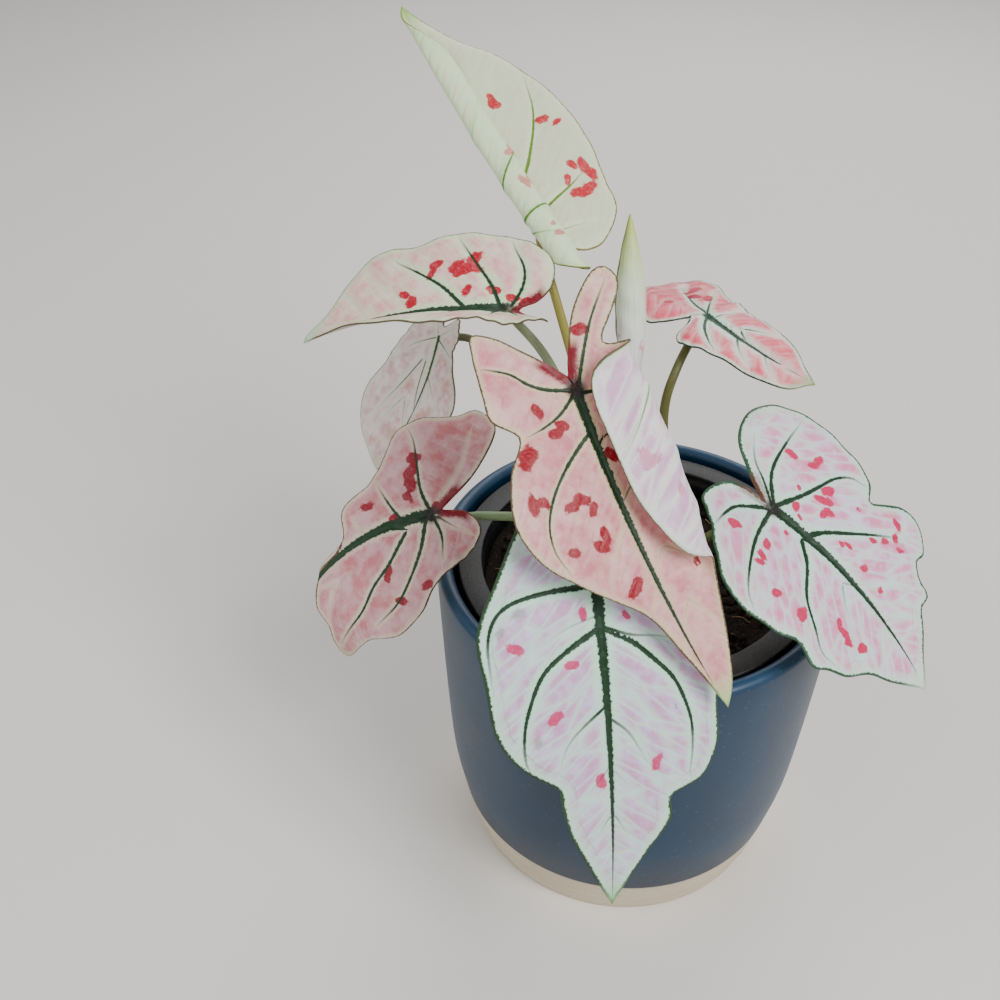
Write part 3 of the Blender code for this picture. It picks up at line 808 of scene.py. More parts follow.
def make_blade(leaf, *materials):
    blade, column, row = new_grid(f"blade_{leaf.name}", 2 * RAYS, RINGS)
    loop = blade_loop(leaf, RAYS)
    size = row / RINGS * MARGIN_INSET
    s = size * loop[column, 0]
    t = size * loop[column, 1]
    edge = edge_distance(loop, s, t)
    middle = np.exp(-((t / 14) ** 2)) * np.clip(edge / 5, 0, 1)
    t = t + midrib_offset(leaf, s) * middle
    corners, face_of = corner_points(blade)
    faces = len(blade.data.polygons)
    corner_s, corner_t = s[corners], t[corners]
    left_face = (np.bincount(face_of, column[corners], faces) / 4 < RAYS)[face_of]
    out = np.abs(corner_t)
    vein, way, strength = (np.zeros(len(corners)) for _ in range(3))
    for half, lines in ((left_face, leaf.veins_left), (~left_face, leaf.veins_right)):
        curves = [(power, smooth_line(line, 4 * len(line))) for power, line in lines]
        half_faces, numbers = np.unique(face_of[half], return_inverse=True)
        found = nearest_vein(curves, corner_s[half], out[half], numbers, len(half_faces))
        vein[half], way[half], strength[half] = found
    rib = rib_distance(leaf, corner_s, corner_t) * np.where(left_face, 1, -1)
    corner_edge = edge_distance(loop, corner_s, corner_t)
    relief = np.zeros(len(s))
    relief[corners] = blade_relief(leaf, np.abs(rib), vein, strength, corner_edge)
    add_layer(blade, "flat", corner_s, corner_t)
    add_layer(blade, "vein", vein, way)
    add_layer(blade, "ribs", np.abs(rib), corner_edge)
    add_layer(blade, "paint", spot_field(leaf, corner_s, corner_t), strength)
    safe_t = np.where(np.abs(t) < 1e-6, np.where(column < RAYS, 1e-6, -1e-6), t)
    place = bend_blade(leaf, s, safe_t)
    ahead = bend_blade(leaf, s + NUDGE, safe_t) - place
    beside = bend_blade(leaf, s, safe_t + np.sign(safe_t) * NUDGE) - place
    normal = unit(np.cross(ahead, beside * np.sign(safe_t)[:, None]))
    turn = np.arctan2(safe_t, s)
    ripple = 0.25 * size**4 * np.sin(23 * turn + 1.7) * np.clip(np.abs(safe_t) / 6, 0, 1)
    rise = leaf.wave * size**2 * np.sin(leaf.waves * turn) + ripple + relief
    set_points(blade, place + normal * rise[:, None])
    close_doubles(blade)
    for material in materials:
        blade.data.materials.append(material)
    apply_modifier(blade, "SOLIDIFY", thickness=BLADE_SHEET * MM, offset=0.0, material_offset=1)
    return blade


print("blade builder ready")

# %% [markdown]
# ## Leaf finishes
# The colours of a caladium sit in layers: a pale ground, a pink flush in the panels, a pale net
# of fine veins, a mint glow beside the main veins, the dark green veins with feathered edges,
# crimson patches, and a green line round the margin. One picture per leaf could hold all that,
# but masks made from the distances stay sharp at any size, and each leaf only needs its own
# colours and amounts. The underside gets paler colours and pale veins.

# %% Leaf colours
@dataclass
class Look:
    pale: tuple
    flush: tuple
    flushed: float
    halo: tuple
    vein: tuple
    rib_width: float
    vein_width: float
    halo_reach: float
    margin: tuple
    margin_width: float
    border: float
    spot: tuple
    tip: tuple
    notch: float = 0.0
    net: float = 0.5
    collar: float = 0.0
    heart: float = 0.0
    # colour of the negative spots: grey for smudges, and white on back_right, where it is a painted highlight
    smudge_and_sheen: tuple = shade(140, 138, 142)


LEAF_GREEN = shade(10, 50, 20)
LOOKS = {
    "front": Look(
        pale=shade(212, 200, 228), flush=shade(206, 152, 190), flushed=0.46,
        halo=shade(196, 240, 212), vein=LEAF_GREEN, rib_width=1.9, vein_width=1.05,
        halo_reach=2.9, margin=shade(40, 70, 36), margin_width=1.1, border=3.6,
        spot=shade(206, 62, 110), tip=shade(150, 200, 140), notch=0.0, net=0.9, collar=0.8,
    ),
    "centre": Look(
        pale=shade(226, 176, 170), flush=shade(214, 124, 134), flushed=0.4,
        halo=shade(220, 200, 164), vein=LEAF_GREEN, rib_width=1.8, vein_width=0.7,
        halo_reach=1.5, margin=shade(92, 76, 44), margin_width=0.55, border=1.8,
        spot=shade(150, 4, 26), tip=shade(180, 214, 140), notch=1.0, net=0.14, heart=0.9,
    ),
    "right": Look(
        pale=shade(226, 214, 238), flush=shade(232, 138, 170), flushed=0.5,
        halo=shade(204, 240, 218), vein=LEAF_GREEN, rib_width=2.3, vein_width=1.05,
        halo_reach=2.8, margin=shade(40, 80, 50), margin_width=0.95, border=3.0,
        spot=shade(206, 36, 84), tip=shade(210, 232, 212), notch=0.5, net=0.9, collar=0.5,
        heart=0.8,
    ),
    "left": Look(
        pale=shade(200, 158, 160), flush=shade(188, 106, 112), flushed=0.42,
        halo=shade(210, 200, 176), vein=LEAF_GREEN, rib_width=2.3, vein_width=0.85,
        halo_reach=1.7, margin=shade(84, 52, 34), margin_width=0.45, border=1.6,
        spot=shade(136, 4, 30), tip=shade(190, 184, 150), notch=1.0, net=0.12, heart=0.8,
    ),
    "upper_left": Look(
        pale=shade(234, 212, 194), flush=shade(232, 160, 164), flushed=0.42,
        halo=shade(210, 234, 190), vein=LEAF_GREEN, rib_width=3.0, vein_width=0.8,
        halo_reach=2.9, margin=shade(88, 74, 44), margin_width=0.45, border=2.6,
        spot=shade(180, 4, 34), tip=shade(196, 232, 196), notch=1.0, net=0.45, heart=0.6,
    ),
    "back_left": Look(
        pale=shade(238, 222, 218), flush=shade(206, 156, 150), flushed=0.42,
        halo=shade(222, 224, 206), vein=shade(52, 76, 38), rib_width=0.75, vein_width=0.5,
        halo_reach=2.6, margin=shade(96, 84, 56), margin_width=0.4, border=1.8,
        spot=shade(180, 60, 80), tip=shade(214, 206, 180), notch=0.0, net=0.2,
    ),
    "top": Look(
        pale=shade(216, 222, 188), flush=shade(214, 204, 176), flushed=0.3,
        halo=shade(222, 234, 196), vein=shade(96, 134, 20), rib_width=0.35, vein_width=0.75,
        halo_reach=2.4, margin=shade(122, 112, 42), margin_width=0.55, border=2.0,
        spot=shade(196, 36, 52), tip=shade(150, 190, 60), notch=0.0, net=0.35,
    ),
    "back_right": Look(
        pale=shade(244, 206, 206), flush=shade(232, 60, 90), flushed=0.78,
        halo=shade(206, 240, 218), vein=shade(20, 64, 36), rib_width=1.4, vein_width=0.8,
        halo_reach=2.6, margin=shade(44, 56, 34), margin_width=0.45, border=1.6,
        spot=shade(186, 8, 48), tip=shade(150, 170, 110), notch=0.0, net=0.25,
        # painted highlight: the negative spot on this leaf is painted white as a sheen
        smudge_and_sheen=shade(250, 250, 244),
    ),
}
UNDER = {
    "centre": Look(
        pale=shade(240, 232, 240), flush=shade(214, 160, 196), flushed=0.6,
        halo=shade(226, 240, 222), vein=shade(128, 176, 112), rib_width=0.5, vein_width=0.5,
        halo_reach=2.2, margin=shade(104, 132, 72), margin_width=0.4, border=2.2,
        spot=shade(222, 150, 176), tip=shade(200, 222, 176), notch=0.0, net=0.9,
    ),
    "top": Look(
        pale=shade(218, 240, 196), flush=shade(228, 232, 190), flushed=0.3,
        halo=shade(204, 234, 176), vein=shade(78, 128, 30), rib_width=0.3, vein_width=0.6,
        halo_reach=2.2, margin=shade(140, 164, 74), margin_width=0.35, border=1.8,
        spot=shade(208, 140, 122), tip=shade(140, 184, 60),
    ),
}
PLAIN_UNDER = Look(
    pale=shade(222, 212, 204), flush=shade(208, 168, 166), flushed=0.4,
    halo=shade(200, 214, 180), vein=shade(118, 150, 96), rib_width=0.9, vein_width=0.5,
    halo_reach=1.8, margin=shade(100, 106, 70), margin_width=0.4, border=1.8,
    spot=shade(196, 110, 120), tip=shade(190, 212, 162),
)


def leaf_finish(name, look, length, seed):
    """The layers of one face of a leaf, from the ground colour up."""
    finish = Finish(name)
    along, out = finish.pair("flat")
    vein, way = finish.pair("vein")
    rib, edge = finish.pair("ribs")
    spot, strength = finish.pair("paint")
    vein = abs(vein)
    flat = finish.vector(along, out, seed)
    broad = finish.noise(flat, 0.07, 3.0)
    patchy = finish.noise(flat, 0.22, 4.0, 0.6)
    feather = finish.noise(flat, 1.1, 3.0, 0.7)
    hair = finish.noise(finish.vector(way * 0.9, vein * 0.4, seed + 3.0), 1.0, 3.0, 0.7)
    rib_hair = finish.noise(finish.vector(along * 0.9, out * 0.4, seed), 1.0, 3.0, 0.7)
    slanted = finish.vector(along - abs(out) * 0.75 + feather * 0.9, abs(out) * 0.42, seed)
    cell = finish.cells(slanted, 0.19)
    net = (1.0 - cell * 9.0).clamp() * ((edge - 1.0) * 0.3).clamp()
    panel = (cell * 4.0).clamp()
    rib_width = (1.0 - along / (0.96 * length)).clamp() * look.rib_width * (0.25 + 1.5 * rib_hair)
    vein_width = strength * look.vein_width * (0.25 + 1.5 * hair)
    ribbed = ((rib_width - rib) * 3.0 + 0.5).clamp() * (along * 0.6 + 1.0).clamp()
    veined = ((vein_width - vein) * 3.5 + 0.5).clamp() * ((strength - 0.22) * 4.0).clamp()
    dark = ribbed.most(veined * ((edge - 0.8) * 0.8).clamp())
    rib_glow = (1.35 - (rib - rib_width) / (look.halo_reach * (0.4 + rib_hair))).clamp()
    vein_glow = (1.3 - (vein - vein_width) / (look.halo_reach * (0.3 + 0.8 * hair))).clamp()
    vein_glow = vein_glow * (0.3 + 0.9 * strength).least(1.0)
    glow = (rib_glow * (along * 0.5 + 1.0).clamp() * (1.15 - along / length).clamp()).most(vein_glow)
    border = (1.2 - (edge - look.margin_width) / (look.border * (0.2 + 1.5 * feather))).clamp()
    flushed = ((broad * 0.6 + patchy * 0.8 + look.flushed - 1.0) * 4.5).clamp()
    flushed = flushed * (1.0 - (1.0 - panel) * 0.6 * look.net)
    colour = finish.mix(look.pale, look.flush, flushed * (1.0 - glow * 0.8) * (0.4 + 0.9 * patchy))
    colour = finish.mix(colour, look.halo, net * look.net * 0.75)
    colour = finish.mix(colour, look.halo, glow.most(border * 0.85))
    angular = (finish.cells(flat, 0.3, "F1") - 0.4) * 0.3 - (patchy - 0.5) * 0.8
    angular = angular - (feather - 0.5) * 0.35
    spotted = ((spot - 0.34 - angular) * 8.0).clamp()
    # negative spots: grey smudges, and on back_right a white painted highlight
    smudge_and_sheen_mask = ((0.0 - spot + (feather - 0.5) * 0.6 - 0.5) * 4.0).clamp() * 0.6
    colour = finish.mix(colour, look.smudge_and_sheen, smudge_and_sheen_mask)
    spot_tone = finish.mix(look.spot, look.flush, ((feather - 0.5) * 1.6).clamp())
    colour = finish.mix(colour, spot_tone, spotted)
    if look.collar:
        ring = (1.0 - abs(edge - 4.6 + (patchy - 0.5) * 3.0) * 2.6).clamp() * ((broad - 0.4) * 6.0).clamp()
        colour = finish.mix(colour, look.vein, ring * (hair - 0.2).clamp() * look.collar)
    margined = ((look.margin_width * (0.1 + 1.9 * feather) - edge) * 3.0 + 0.5).clamp()
    colour = finish.mix(colour, look.margin, margined)
    if look.notch:
        red = ((15.0 - rib) * 0.3).clamp() * ((2.4 + 2.0 * feather - edge) * 0.8).clamp()
        colour = finish.mix(colour, shade(120, 0, 22), red * (0.5 - along).clamp() * look.notch)
    colour = finish.mix(colour, look.tip, ((along - 0.88 * length) / (0.1 * length)).clamp() * 0.85)
    colour = finish.mix(colour, look.vein, dark)
    if look.heart:
        squares = along * along + out * out
        reach = squares.math("SQRT", squares)
        heart = ((3.4 - reach + feather) * 0.6).clamp() * look.heart
        colour = finish.mix(colour, shade(26, 14, 12), heart)
    height = patchy * 0.5 + finish.noise(flat, 2.2, 2.0) * 0.1 + panel * 0.35 - dark * 0.3
    return finish.surface(
        Base_Color=colour,
        Roughness=0.34 + 0.24 * patchy + 0.06 * dark,
        Normal=finish.bump(height, 0.0007, 0.8),
        Specular_IOR_Level=0.42,
    )


for number, leaf in enumerate(LEAVES):
    upper = leaf_finish(f"{leaf.name}_upper", LOOKS[leaf.name], leaf.length, 11.0 * number)
    under_look = UNDER.get(leaf.name, PLAIN_UNDER)
    under = leaf_finish(f"{leaf.name}_under", under_look, leaf.length, 11.0 * number + 5)
    blade = make_blade(leaf, upper, under)
    slot = "young_blade" if leaf.name == "top" else "blade"
    finish_piece(blade, f"leaf_{leaf.name}", slot)

# %% [markdown]
# ## Stalks
# A petiole is a round, tapering stalk with fine ribs of darker colour. A curve with a bevel
# would do, but its profile can't taper and carry a map of its own length at once, so a stalk is
# also a grid: its columns go round and its rows go up a smooth line.

# %% Petioles
STALK_SIDES, STALK_RINGS = 18, 72
FOOT_RADIUS, TIP_RADIUS = 2.2, 1.35
SOIL_EDGE_TOP, SOIL_DOME = 117.0, 2.5
STALK_START = 94.0
STALK_HEIGHT = 90.0
SPEAR_FOOT = (2.5, 2.5)
SPEAR_WAY = ((-1, 12, 142),)
SPEAR_JOINT = (-6.5, 28, 166)
SPEAR_TIP = (-13, 53, 229)


def round_frames(line):
    """Directions along a line and two square to it that don't twist."""
    along = unit(np.gradient(line, axis=0))
    side = np.array([1.0, 0.0, 0.0])
    sides = []
    for direction in along:
        side = side - direction * (side @ direction)
        side = side / np.linalg.norm(side)
        sides.append(side)
    sides = np.array(sides)
    return along, sides, np.cross(along, sides)


def make_stalk(name, line, radii):
    stalk, column, row = new_grid(name, STALK_SIDES, STALK_RINGS)
    _, side, other = round_frames(line)
    turn = tau * (column % STALK_SIDES) / STALK_SIDES
    grooved = 1 + 0.035 * np.cos(3 * turn + 0.02 * row) + 0.02 * np.sin(0.35 * row + turn)
    radius = (radii[row] * grooved)[:, None]
    points = line[row] + radius * (np.cos(turn)[:, None] * side[row] + np.sin(turn)[:, None] * other[row])
    set_points(stalk, points)
    corners, _ = corner_points(stalk)
    along = np.concatenate([[0], np.cumsum(np.linalg.norm(np.diff(line, axis=0), axis=1))])
    add_layer(stalk, "flat", column[corners] * tau / STALK_SIDES, along[row[corners]])
    close_doubles(stalk)
    return stalk


def stalk_finish(name, low, high, streak, height):
    """Low colour at the soil, high colour at the blade, with fine streaks along the stalk."""
    finish = Finish(name)
    around, along = finish.pair("flat")
    circle_x, circle_y = finish.circle(around)
    streaks = finish.noise(finish.vector(circle_x, circle_y, along * 0.05), 2.4, 4.0, 0.7)
    flecks = finish.noise(finish.vector(circle_x, circle_y, along * 0.6), 1.2, 3.0)
    colour = finish.mix(low, high, (along / height + (flecks - 0.5) * 0.5).clamp())
    colour = finish.mix(colour, streak, ((streaks - 0.5) * 3.5).clamp() * 0.75)
    return finish.surface(
        Base_Color=colour,
        Roughness=0.34 + 0.2 * streaks,
        Normal=finish.bump(streaks + flecks * 0.4, 0.0003, 0.6),
    )


STALK_COLOURS = {
    "front": (shade(92, 96, 44), shade(120, 138, 84), shade(70, 74, 36)),
    "centre": (shade(96, 98, 42), shade(104, 116, 60), shade(72, 62, 30)),
    "right": (shade(98, 104, 52), shade(122, 134, 80), shade(76, 66, 36)),
    "left": (shade(110, 128, 78), shade(142, 166, 122), shade(96, 120, 72)),
    "upper_left": (shade(104, 112, 66), shade(136, 148, 112), shade(88, 96, 58)),
    "back_left": (shade(74, 72, 40), shade(82, 82, 46), shade(58, 50, 28)),
    "top": (shade(120, 106, 44), shade(146, 138, 58), shade(96, 74, 30)),
    "back_right": (shade(84, 82, 34), shade(92, 92, 42), shade(58, 54, 24)),
    "spear": (shade(110, 112, 56), shade(150, 164, 92), shade(88, 80, 40)),
}


def stalk_line(foot, way, end):
    x, y = foot
    above = (x, y, SOIL_EDGE_TOP + SOIL_DOME + 3.0)
    return smooth_line(((x, y, STALK_START), (x, y, 106.0), above, *way[::-1], end), STALK_RINGS + 1)


def add_petiole(name, foot, way, end):
    line = stalk_line(foot, way, end)
    share = np.linspace(0, 1, STALK_RINGS + 1)
    radii = FOOT_RADIUS + (TIP_RADIUS - FOOT_RADIUS) * share
    radii[0] = 0
    radii[-3:] *= (0.9, 0.65, 0.0)
    finish = stalk_finish(f"{name}_stalk", *STALK_COLOURS[name], STALK_HEIGHT)
    finish_piece(make_stalk(f"stalk_{name}", line, radii), f"petiole_{name}", "stalk", finish)


for leaf in LEAVES:
    _, _, face, _ = midrib_frame(leaf, np.array(0.0))
    add_petiole(leaf.name, leaf.foot, leaf.way, np.asarray(leaf.joint, float) - 0.35 * face)
add_petiole("spear", SPEAR_FOOT, SPEAR_WAY, np.asarray(SPEAR_JOINT, float))

# %% [markdown]
# ## The rolled leaf
# The youngest leaf stands behind the centre one, still rolled into a spear. Its sheet winds
# round itself one and a half times, so a cone would miss the edge that laps over. The grid's
# columns follow that winding, and the outer edge stays visible as a seam up the spear.

# %% Spear
SPEAR_RADIUS = 5.2
SPEAR_SIDES, SPEAR_RINGS = 64, 90
SPEAR_SHEET = 0.45


def make_spear():
    spear, column, row = new_grid("blade_spear", SPEAR_SIDES, SPEAR_RINGS)
    start, end = np.asarray(SPEAR_JOINT, float), np.asarray(SPEAR_TIP, float)
    along = unit(end - start)
    side = unit(np.cross(along, (0.0, 0.0, 1.0)))
    other = np.cross(along, side)
    share = row / SPEAR_RINGS
    wound = column / SPEAR_SIDES
    turn = tau * 1.55 * wound - 0.9
    reach = SPEAR_RADIUS * np.sin(pi * (0.12 + 0.88 * share) ** 1.3) + 0.2
    reach = reach * (0.8 + 0.24 * wound) + 0.3 * (wound - 0.5)
    reach = np.clip(reach, 0.08, None)
    lean = 0.8 * np.sin(pi * share)
    centre = start + (end - start) * share[:, None] + lean[:, None] * other
    ripple = 0.12 * np.sin(7 * tau * share + 3 * turn) * np.sin(pi * share)
    reach = (reach + ripple)[:, None]
    set_points(spear, centre + reach * (np.cos(turn)[:, None] * side + np.sin(turn)[:, None] * other))
    corners, _ = corner_points(spear)
    add_layer(spear, "flat", wound[corners], share[corners])
    close_doubles(spear)
    apply_modifier(spear, "SOLIDIFY", thickness=SPEAR_SHEET * MM, offset=-1.0)
    return spear


def spear_finish():
    finish = Finish("young_blade")
    wound, share = finish.pair("flat")
    place = finish.place()
    mottle = finish.noise(place, 160.0, 4.0, 0.6)
    fine = finish.noise(place, 600.0, 3.0)
    streaks = finish.noise(finish.vector(wound * 26.0, share * 3.0, 0.0), 2.0, 3.0)
    colour = finish.mix(shade(238, 236, 236), shade(222, 240, 204), ((share - 0.35) * 3.0).clamp())
    colour = finish.mix(colour, shade(196, 212, 112), ((share - 0.68) * 4.0 + (mottle - 0.5)).clamp())
    colour = finish.mix(colour, shade(176, 200, 128), ((streaks - 0.52) * 5.0).clamp() * 0.4)
    pink = ((mottle - 0.6) * 12.0).clamp() * ((0.62 - share) * 6.0).clamp()
    colour = finish.mix(colour, shade(224, 130, 150), pink * 0.7)
    rim = ((wound - 0.975) * 60.0).clamp()
    colour = finish.mix(colour, shade(120, 150, 74), rim * 0.8)
    relief = finish.bump(streaks + fine * 0.3, 0.0003, 0.5)
    return finish.surface(Base_Color=colour, Roughness=0.38 + 0.2 * fine, Normal=relief)


finish_piece(make_spear(), "leaf_spear", "young_blade", spear_finish())

# %% [markdown]
# ## Turned pots
# Both pots are bodies of revolution. A Screw modifier or Spin would turn a drawn profile, and
# here a circle is extruded and scaled from one height to the next instead, as a potter raises
# a wall. It starts from the base's face, so the wall, the lip and the inside close into one
# solid without any seam to merge.

# %% Ceramic pot
TURNED_SIDES = 160
POT_HEIGHT, POT_RADIUS, POT_FLOOR = 128.0, 70.0, 8.0
LIP_THICKNESS = 5.5
GLAZE_START = 19.3


def arc(centre, radius, start, end, count):
    turns = [radians(start + (end - start) * i / (count - 1)) for i in range(count)]
    return [(centre[0] + radius * cos(a), centre[1] + radius * sin(a)) for a in turns]


def raise_wall(name, profile, sides=TURNED_SIDES):
    """A closed turned solid from (radius, height) points, from the base's face to the inner floor."""
    (radius, height), *rest = profile
    bpy.ops.object.select_all(action="DESELECT")
    bpy.ops.mesh.primitive_circle_add(
        vertices=sides, radius=radius * MM, fill_type="NGON", location=(0, 0, height * MM)
    )
    made = bpy.context.object
    made.name = made.data.name = name
    bpy.ops.object.transform_apply(location=True)
    bpy.ops.object.mode_set(mode="EDIT")
    bpy.ops.mesh.select_all(action="SELECT")
    for next_radius, next_height in rest:
        move = {"value": (0, 0, (next_height - height) * MM)}
        bpy.ops.mesh.extrude_region_move(TRANSFORM_OT_translate=move)
        grow = next_radius / radius
        bpy.ops.transform.resize(value=(grow, grow, 1), center_override=(0, 0, next_height * MM))
        radius, height = next_radius, next_height
    bpy.ops.mesh.select_all(action="SELECT")
    bpy.ops.mesh.normals_make_consistent(inside=False)
    bpy.ops.object.mode_set(mode="OBJECT")
    return made


def pot_profile():
    lip = LIP_THICKNESS / 2
    foot = [(56.2, 0), (57.0, 0.3), (57.3, 1.0), (59.5, 8.0)]
    foot += [(61.5, GLAZE_START - 0.3), (61.6, GLAZE_START)]
    roll = [(61.85, GLAZE_START + 0.1), (62.05, GLAZE_START + 0.5), (62.2, GLAZE_START + 1.2)]
    sides = (roll[-1], (65.6, 40.0), (67.4, 65.0), (68.9, 95.0), (69.8, 116))
    wall = [tuple(point) for point in smooth_line(sides, 16)]
    rim = arc((POT_RADIUS - lip, POT_HEIGHT - lip), lip, 0, 180, 15)
    inside = [(63.9, 118.0), (63.5, 112.0), (61.5, 40.0), (58.5, 18.0), (56.0, 12.0)]
    inside += [(52.0, 9.0), (50.0, POT_FLOOR)]
    return foot + roll + wall[1:] + rim + inside


pot = raise_wall("pot_body", pot_profile())
centres = np.array([tuple(face.center) for face in pot.data.polygons])
unglazed = (centres[:, 2] < GLAZE_START * MM) & (
    (np.hypot(centres[:, 0], centres[:, 1]) > 0.0565) | (centres[:, 2] < 0.001)
)
pot.data.polygons.foreach_set("material_index", unglazed.astype(np.int32))
print("clay faces:", int(unglazed.sum()))

# %% [markdown]
# ## Glaze, clay and plastic
# The glaze is a deep navy satin: it is darker low on the wall, carries faint runs, and has a painted highlight of
# lighter blue over the lip. Apart from that painted highlight, its gloss comes from a coat. The bare clay keeps the
# fine rings of the turning and small dark grog, with a band of painted shade just under the glaze's edge.

# %% Pot finishes
def glaze_finish():
    finish = Finish("glaze")
    place = finish.place()
    x, y, z = finish.axes(place)
    runs = finish.noise(finish.vector(x * 60.0, y * 60.0, z * 9.0), 1.0, 4.0, 0.6)
    cloud = finish.noise(place, 28.0, 3.0, 0.55)
    grain = finish.noise(place, 900.0, 2.0)
    colour = finish.mix(shade(0, 36, 60), shade(0, 58, 90), (cloud * 0.8 + runs * 0.5 - 0.3).clamp())
    # the glaze is darker towards the bottom of the glazed wall
    low = (1.0 - (z - GLAZE_START * MM) * 45.0).clamp()
    colour = finish.mix(colour, shade(0, 20, 36), low * 0.6)
    # painted highlight: the top of the lip is mixed to a lighter blue
    lip = ((z - (POT_HEIGHT - 2.4) * MM) * 500.0 + (runs - 0.5) * 0.8).clamp()
    colour = finish.mix(colour, shade(50, 84, 116), lip * 0.5)
    specks = ((finish.cells(place, 260.0, "F1") * -1.0 + 0.16) * 12.0).clamp()
    colour = finish.mix(colour, shade(120, 140, 150), specks * 0.12)
    return finish.surface(
        Base_Color=colour,
        Roughness=0.34 + 0.14 * cloud + 0.06 * grain,
        Normal=finish.bump(cloud + grain * 0.06 + runs * 0.3, 0.0005, 0.35),
        Specular_IOR_Level=0.35,
        Coat_Weight=0.12,
        Coat_Roughness=0.18,
    )


def clay_finish():
    finish = Finish("clay")
    place = finish.place()
    x, y, z = finish.axes(place)
    rings = finish.noise(finish.vector(x * 14.0, y * 14.0, z * 1100.0), 1.0, 2.0)
    cloud = finish.noise(place, 60.0, 4.0, 0.6)
    grog = ((0.2 - finish.cells(place, 620.0, "F1")) * 9.0).clamp()
    ringed = (cloud * 0.6 + rings * 1.2 - 0.45).clamp()
    colour = finish.mix(shade(196, 180, 156), shade(222, 208, 186), ringed)
    colour = finish.mix(colour, shade(140, 116, 92), grog * 0.6)
    # painted shade: a darker band on the clay just under the glaze's rolled edge
    glaze_edge_shade = (((GLAZE_START - 1.4) * MM - z) * -900.0).clamp()
    colour = finish.mix(colour, shade(150, 138, 124), glaze_edge_shade * 0.5)
    relief = finish.bump(rings + cloud * 0.5, 0.0003, 0.6)
    return finish.surface(Base_Color=colour, Roughness=0.8 + 0.1 * rings, Normal=relief)


def plastic_finish():
    finish = Finish("nursery_plastic")
    place = finish.place()
    x, y, z = finish.axes(place)
    cloud = finish.noise(place, 40.0, 4.0, 0.6)
    grain = finish.noise(place, 1400.0, 2.0)
    rubbed = finish.noise(finish.vector(x * 900.0, y * 120.0, z * 400.0), 1.0, 3.0, 0.7)
    dust = ((z - 0.120) * 160.0).clamp() * ((cloud - 0.42) * 3.0).clamp()
    colour = finish.mix(shade(4, 5, 7), shade(13, 15, 19), cloud)
    colour = finish.mix(colour, shade(66, 72, 80), ((rubbed - 0.56) * 6.0).clamp() * 0.35)
    colour = finish.mix(colour, shade(96, 86, 74), dust * 0.2)
    relief = finish.bump(grain + rubbed * 0.5, 0.0002, 0.5)
    return finish.surface(Base_Color=colour, Roughness=0.42 + 0.2 * cloud, Normal=relief)


finish_piece(pot, "pot", "glaze", glaze_finish(), clay_finish())

# %% [markdown]
# ## Nursery pot
# The plant still stands in the thin plastic pot it was grown in. Only its rolled rim and the
# inside above the soil show, but it is built whole, with the drain holes in its floor cut by a
# Boolean with four cylinders.

# %% Nursery pot
NURSERY_TOP, NURSERY_WALL, NURSERY_RIM_DEPTH = 125.5, 1.3, 7.0
NURSERY_RIM_RADIUS, NURSERY_MOUTH_RADIUS, NURSERY_BASE_RADIUS = 62.6, 55.5, 46.0
NURSERY_LOW = POT_FLOOR + 0.3
DRAIN_HOLES, DRAIN_RADIUS, DRAIN_REACH, DRILL_LENGTH = 4, 4.0, 33.0, 20.0


def nursery_inner_radius(height):
    share = (height - NURSERY_LOW) / (NURSERY_TOP - NURSERY_LOW)
    return NURSERY_BASE_RADIUS + (NURSERY_MOUTH_RADIUS - NURSERY_BASE_RADIUS) * share - NURSERY_WALL


def nursery_profile():
    rim, top, wall = NURSERY_RIM_RADIUS, NURSERY_TOP, NURSERY_WALL
    mouth = nursery_inner_radius(top)
    skirt = top - NURSERY_RIM_DEPTH
    outside = [(NURSERY_BASE_RADIUS - 1, NURSERY_LOW), (NURSERY_BASE_RADIUS, NURSERY_LOW + 1)]
    outside += [(mouth + wall, top - wall), (rim - wall, top - wall), (rim - wall, skirt), (rim, skirt)]
    edge = arc((rim - 0.65, top - 0.65), 0.65, 0, 90, 5) + arc((mouth + 0.65, top - 0.65), 0.65, 90, 180, 5)
    inside = [(mouth, top - 3.0), (mouth - 0.45, top - 3.4), (mouth - 0.5, top - 6.0)]
    inside += [(nursery_inner_radius(60.0), 60.0), (nursery_inner_radius(NURSERY_LOW), NURSERY_LOW + wall)]
    return outside + edge + inside


nursery = raise_wall("nursery_body", nursery_profile())
for hole in range(DRAIN_HOLES):
    turn = tau * (hole + 0.5) / DRAIN_HOLES
    place = Vector((DRAIN_REACH * cos(turn), DRAIN_REACH * sin(turn), NURSERY_LOW)) * MM
    bpy.ops.mesh.primitive_cylinder_add(
        vertices=32, radius=DRAIN_RADIUS * MM, depth=DRILL_LENGTH * MM, location=place
    )
    drill = bpy.context.object
    apply_modifier(nursery, "BOOLEAN", operation="DIFFERENCE", object=drill)
    bpy.data.objects.remove(drill, do_unlink=True)
finish_piece(nursery, "nursery_pot", "plastic", plastic_finish())

# %% [markdown]
# ## Soil
# Peat is a dark crust with crumbs on it and a few pale fibres. A displaced surface alone looks
# like rubber, and loose crumbs alone leave holes, so both are used: a low dome whose points are
# moved by noise, then crumbs from one rounded stone, copied with their own turn and size.

# %% Soil body
SOIL_TURNS, SOIL_ROWS, SOIL_WALL_ROWS = 168, 70, 8
SOIL_LOW = NURSERY_LOW + 0.3 + NURSERY_WALL


def soil_height(radius, turn):
    share = radius / NURSERY_MOUTH_RADIUS
    lumps = np.sin(3 * turn + 1.3) * np.sin(7 * share + 0.4) + 0.7 * np.sin(8 * turn + 11 * share)
    return SOIL_EDGE_TOP + SOIL_DOME * (1 - share**2) + 0.65 * lumps * np.minimum(1.0, 2 * share)


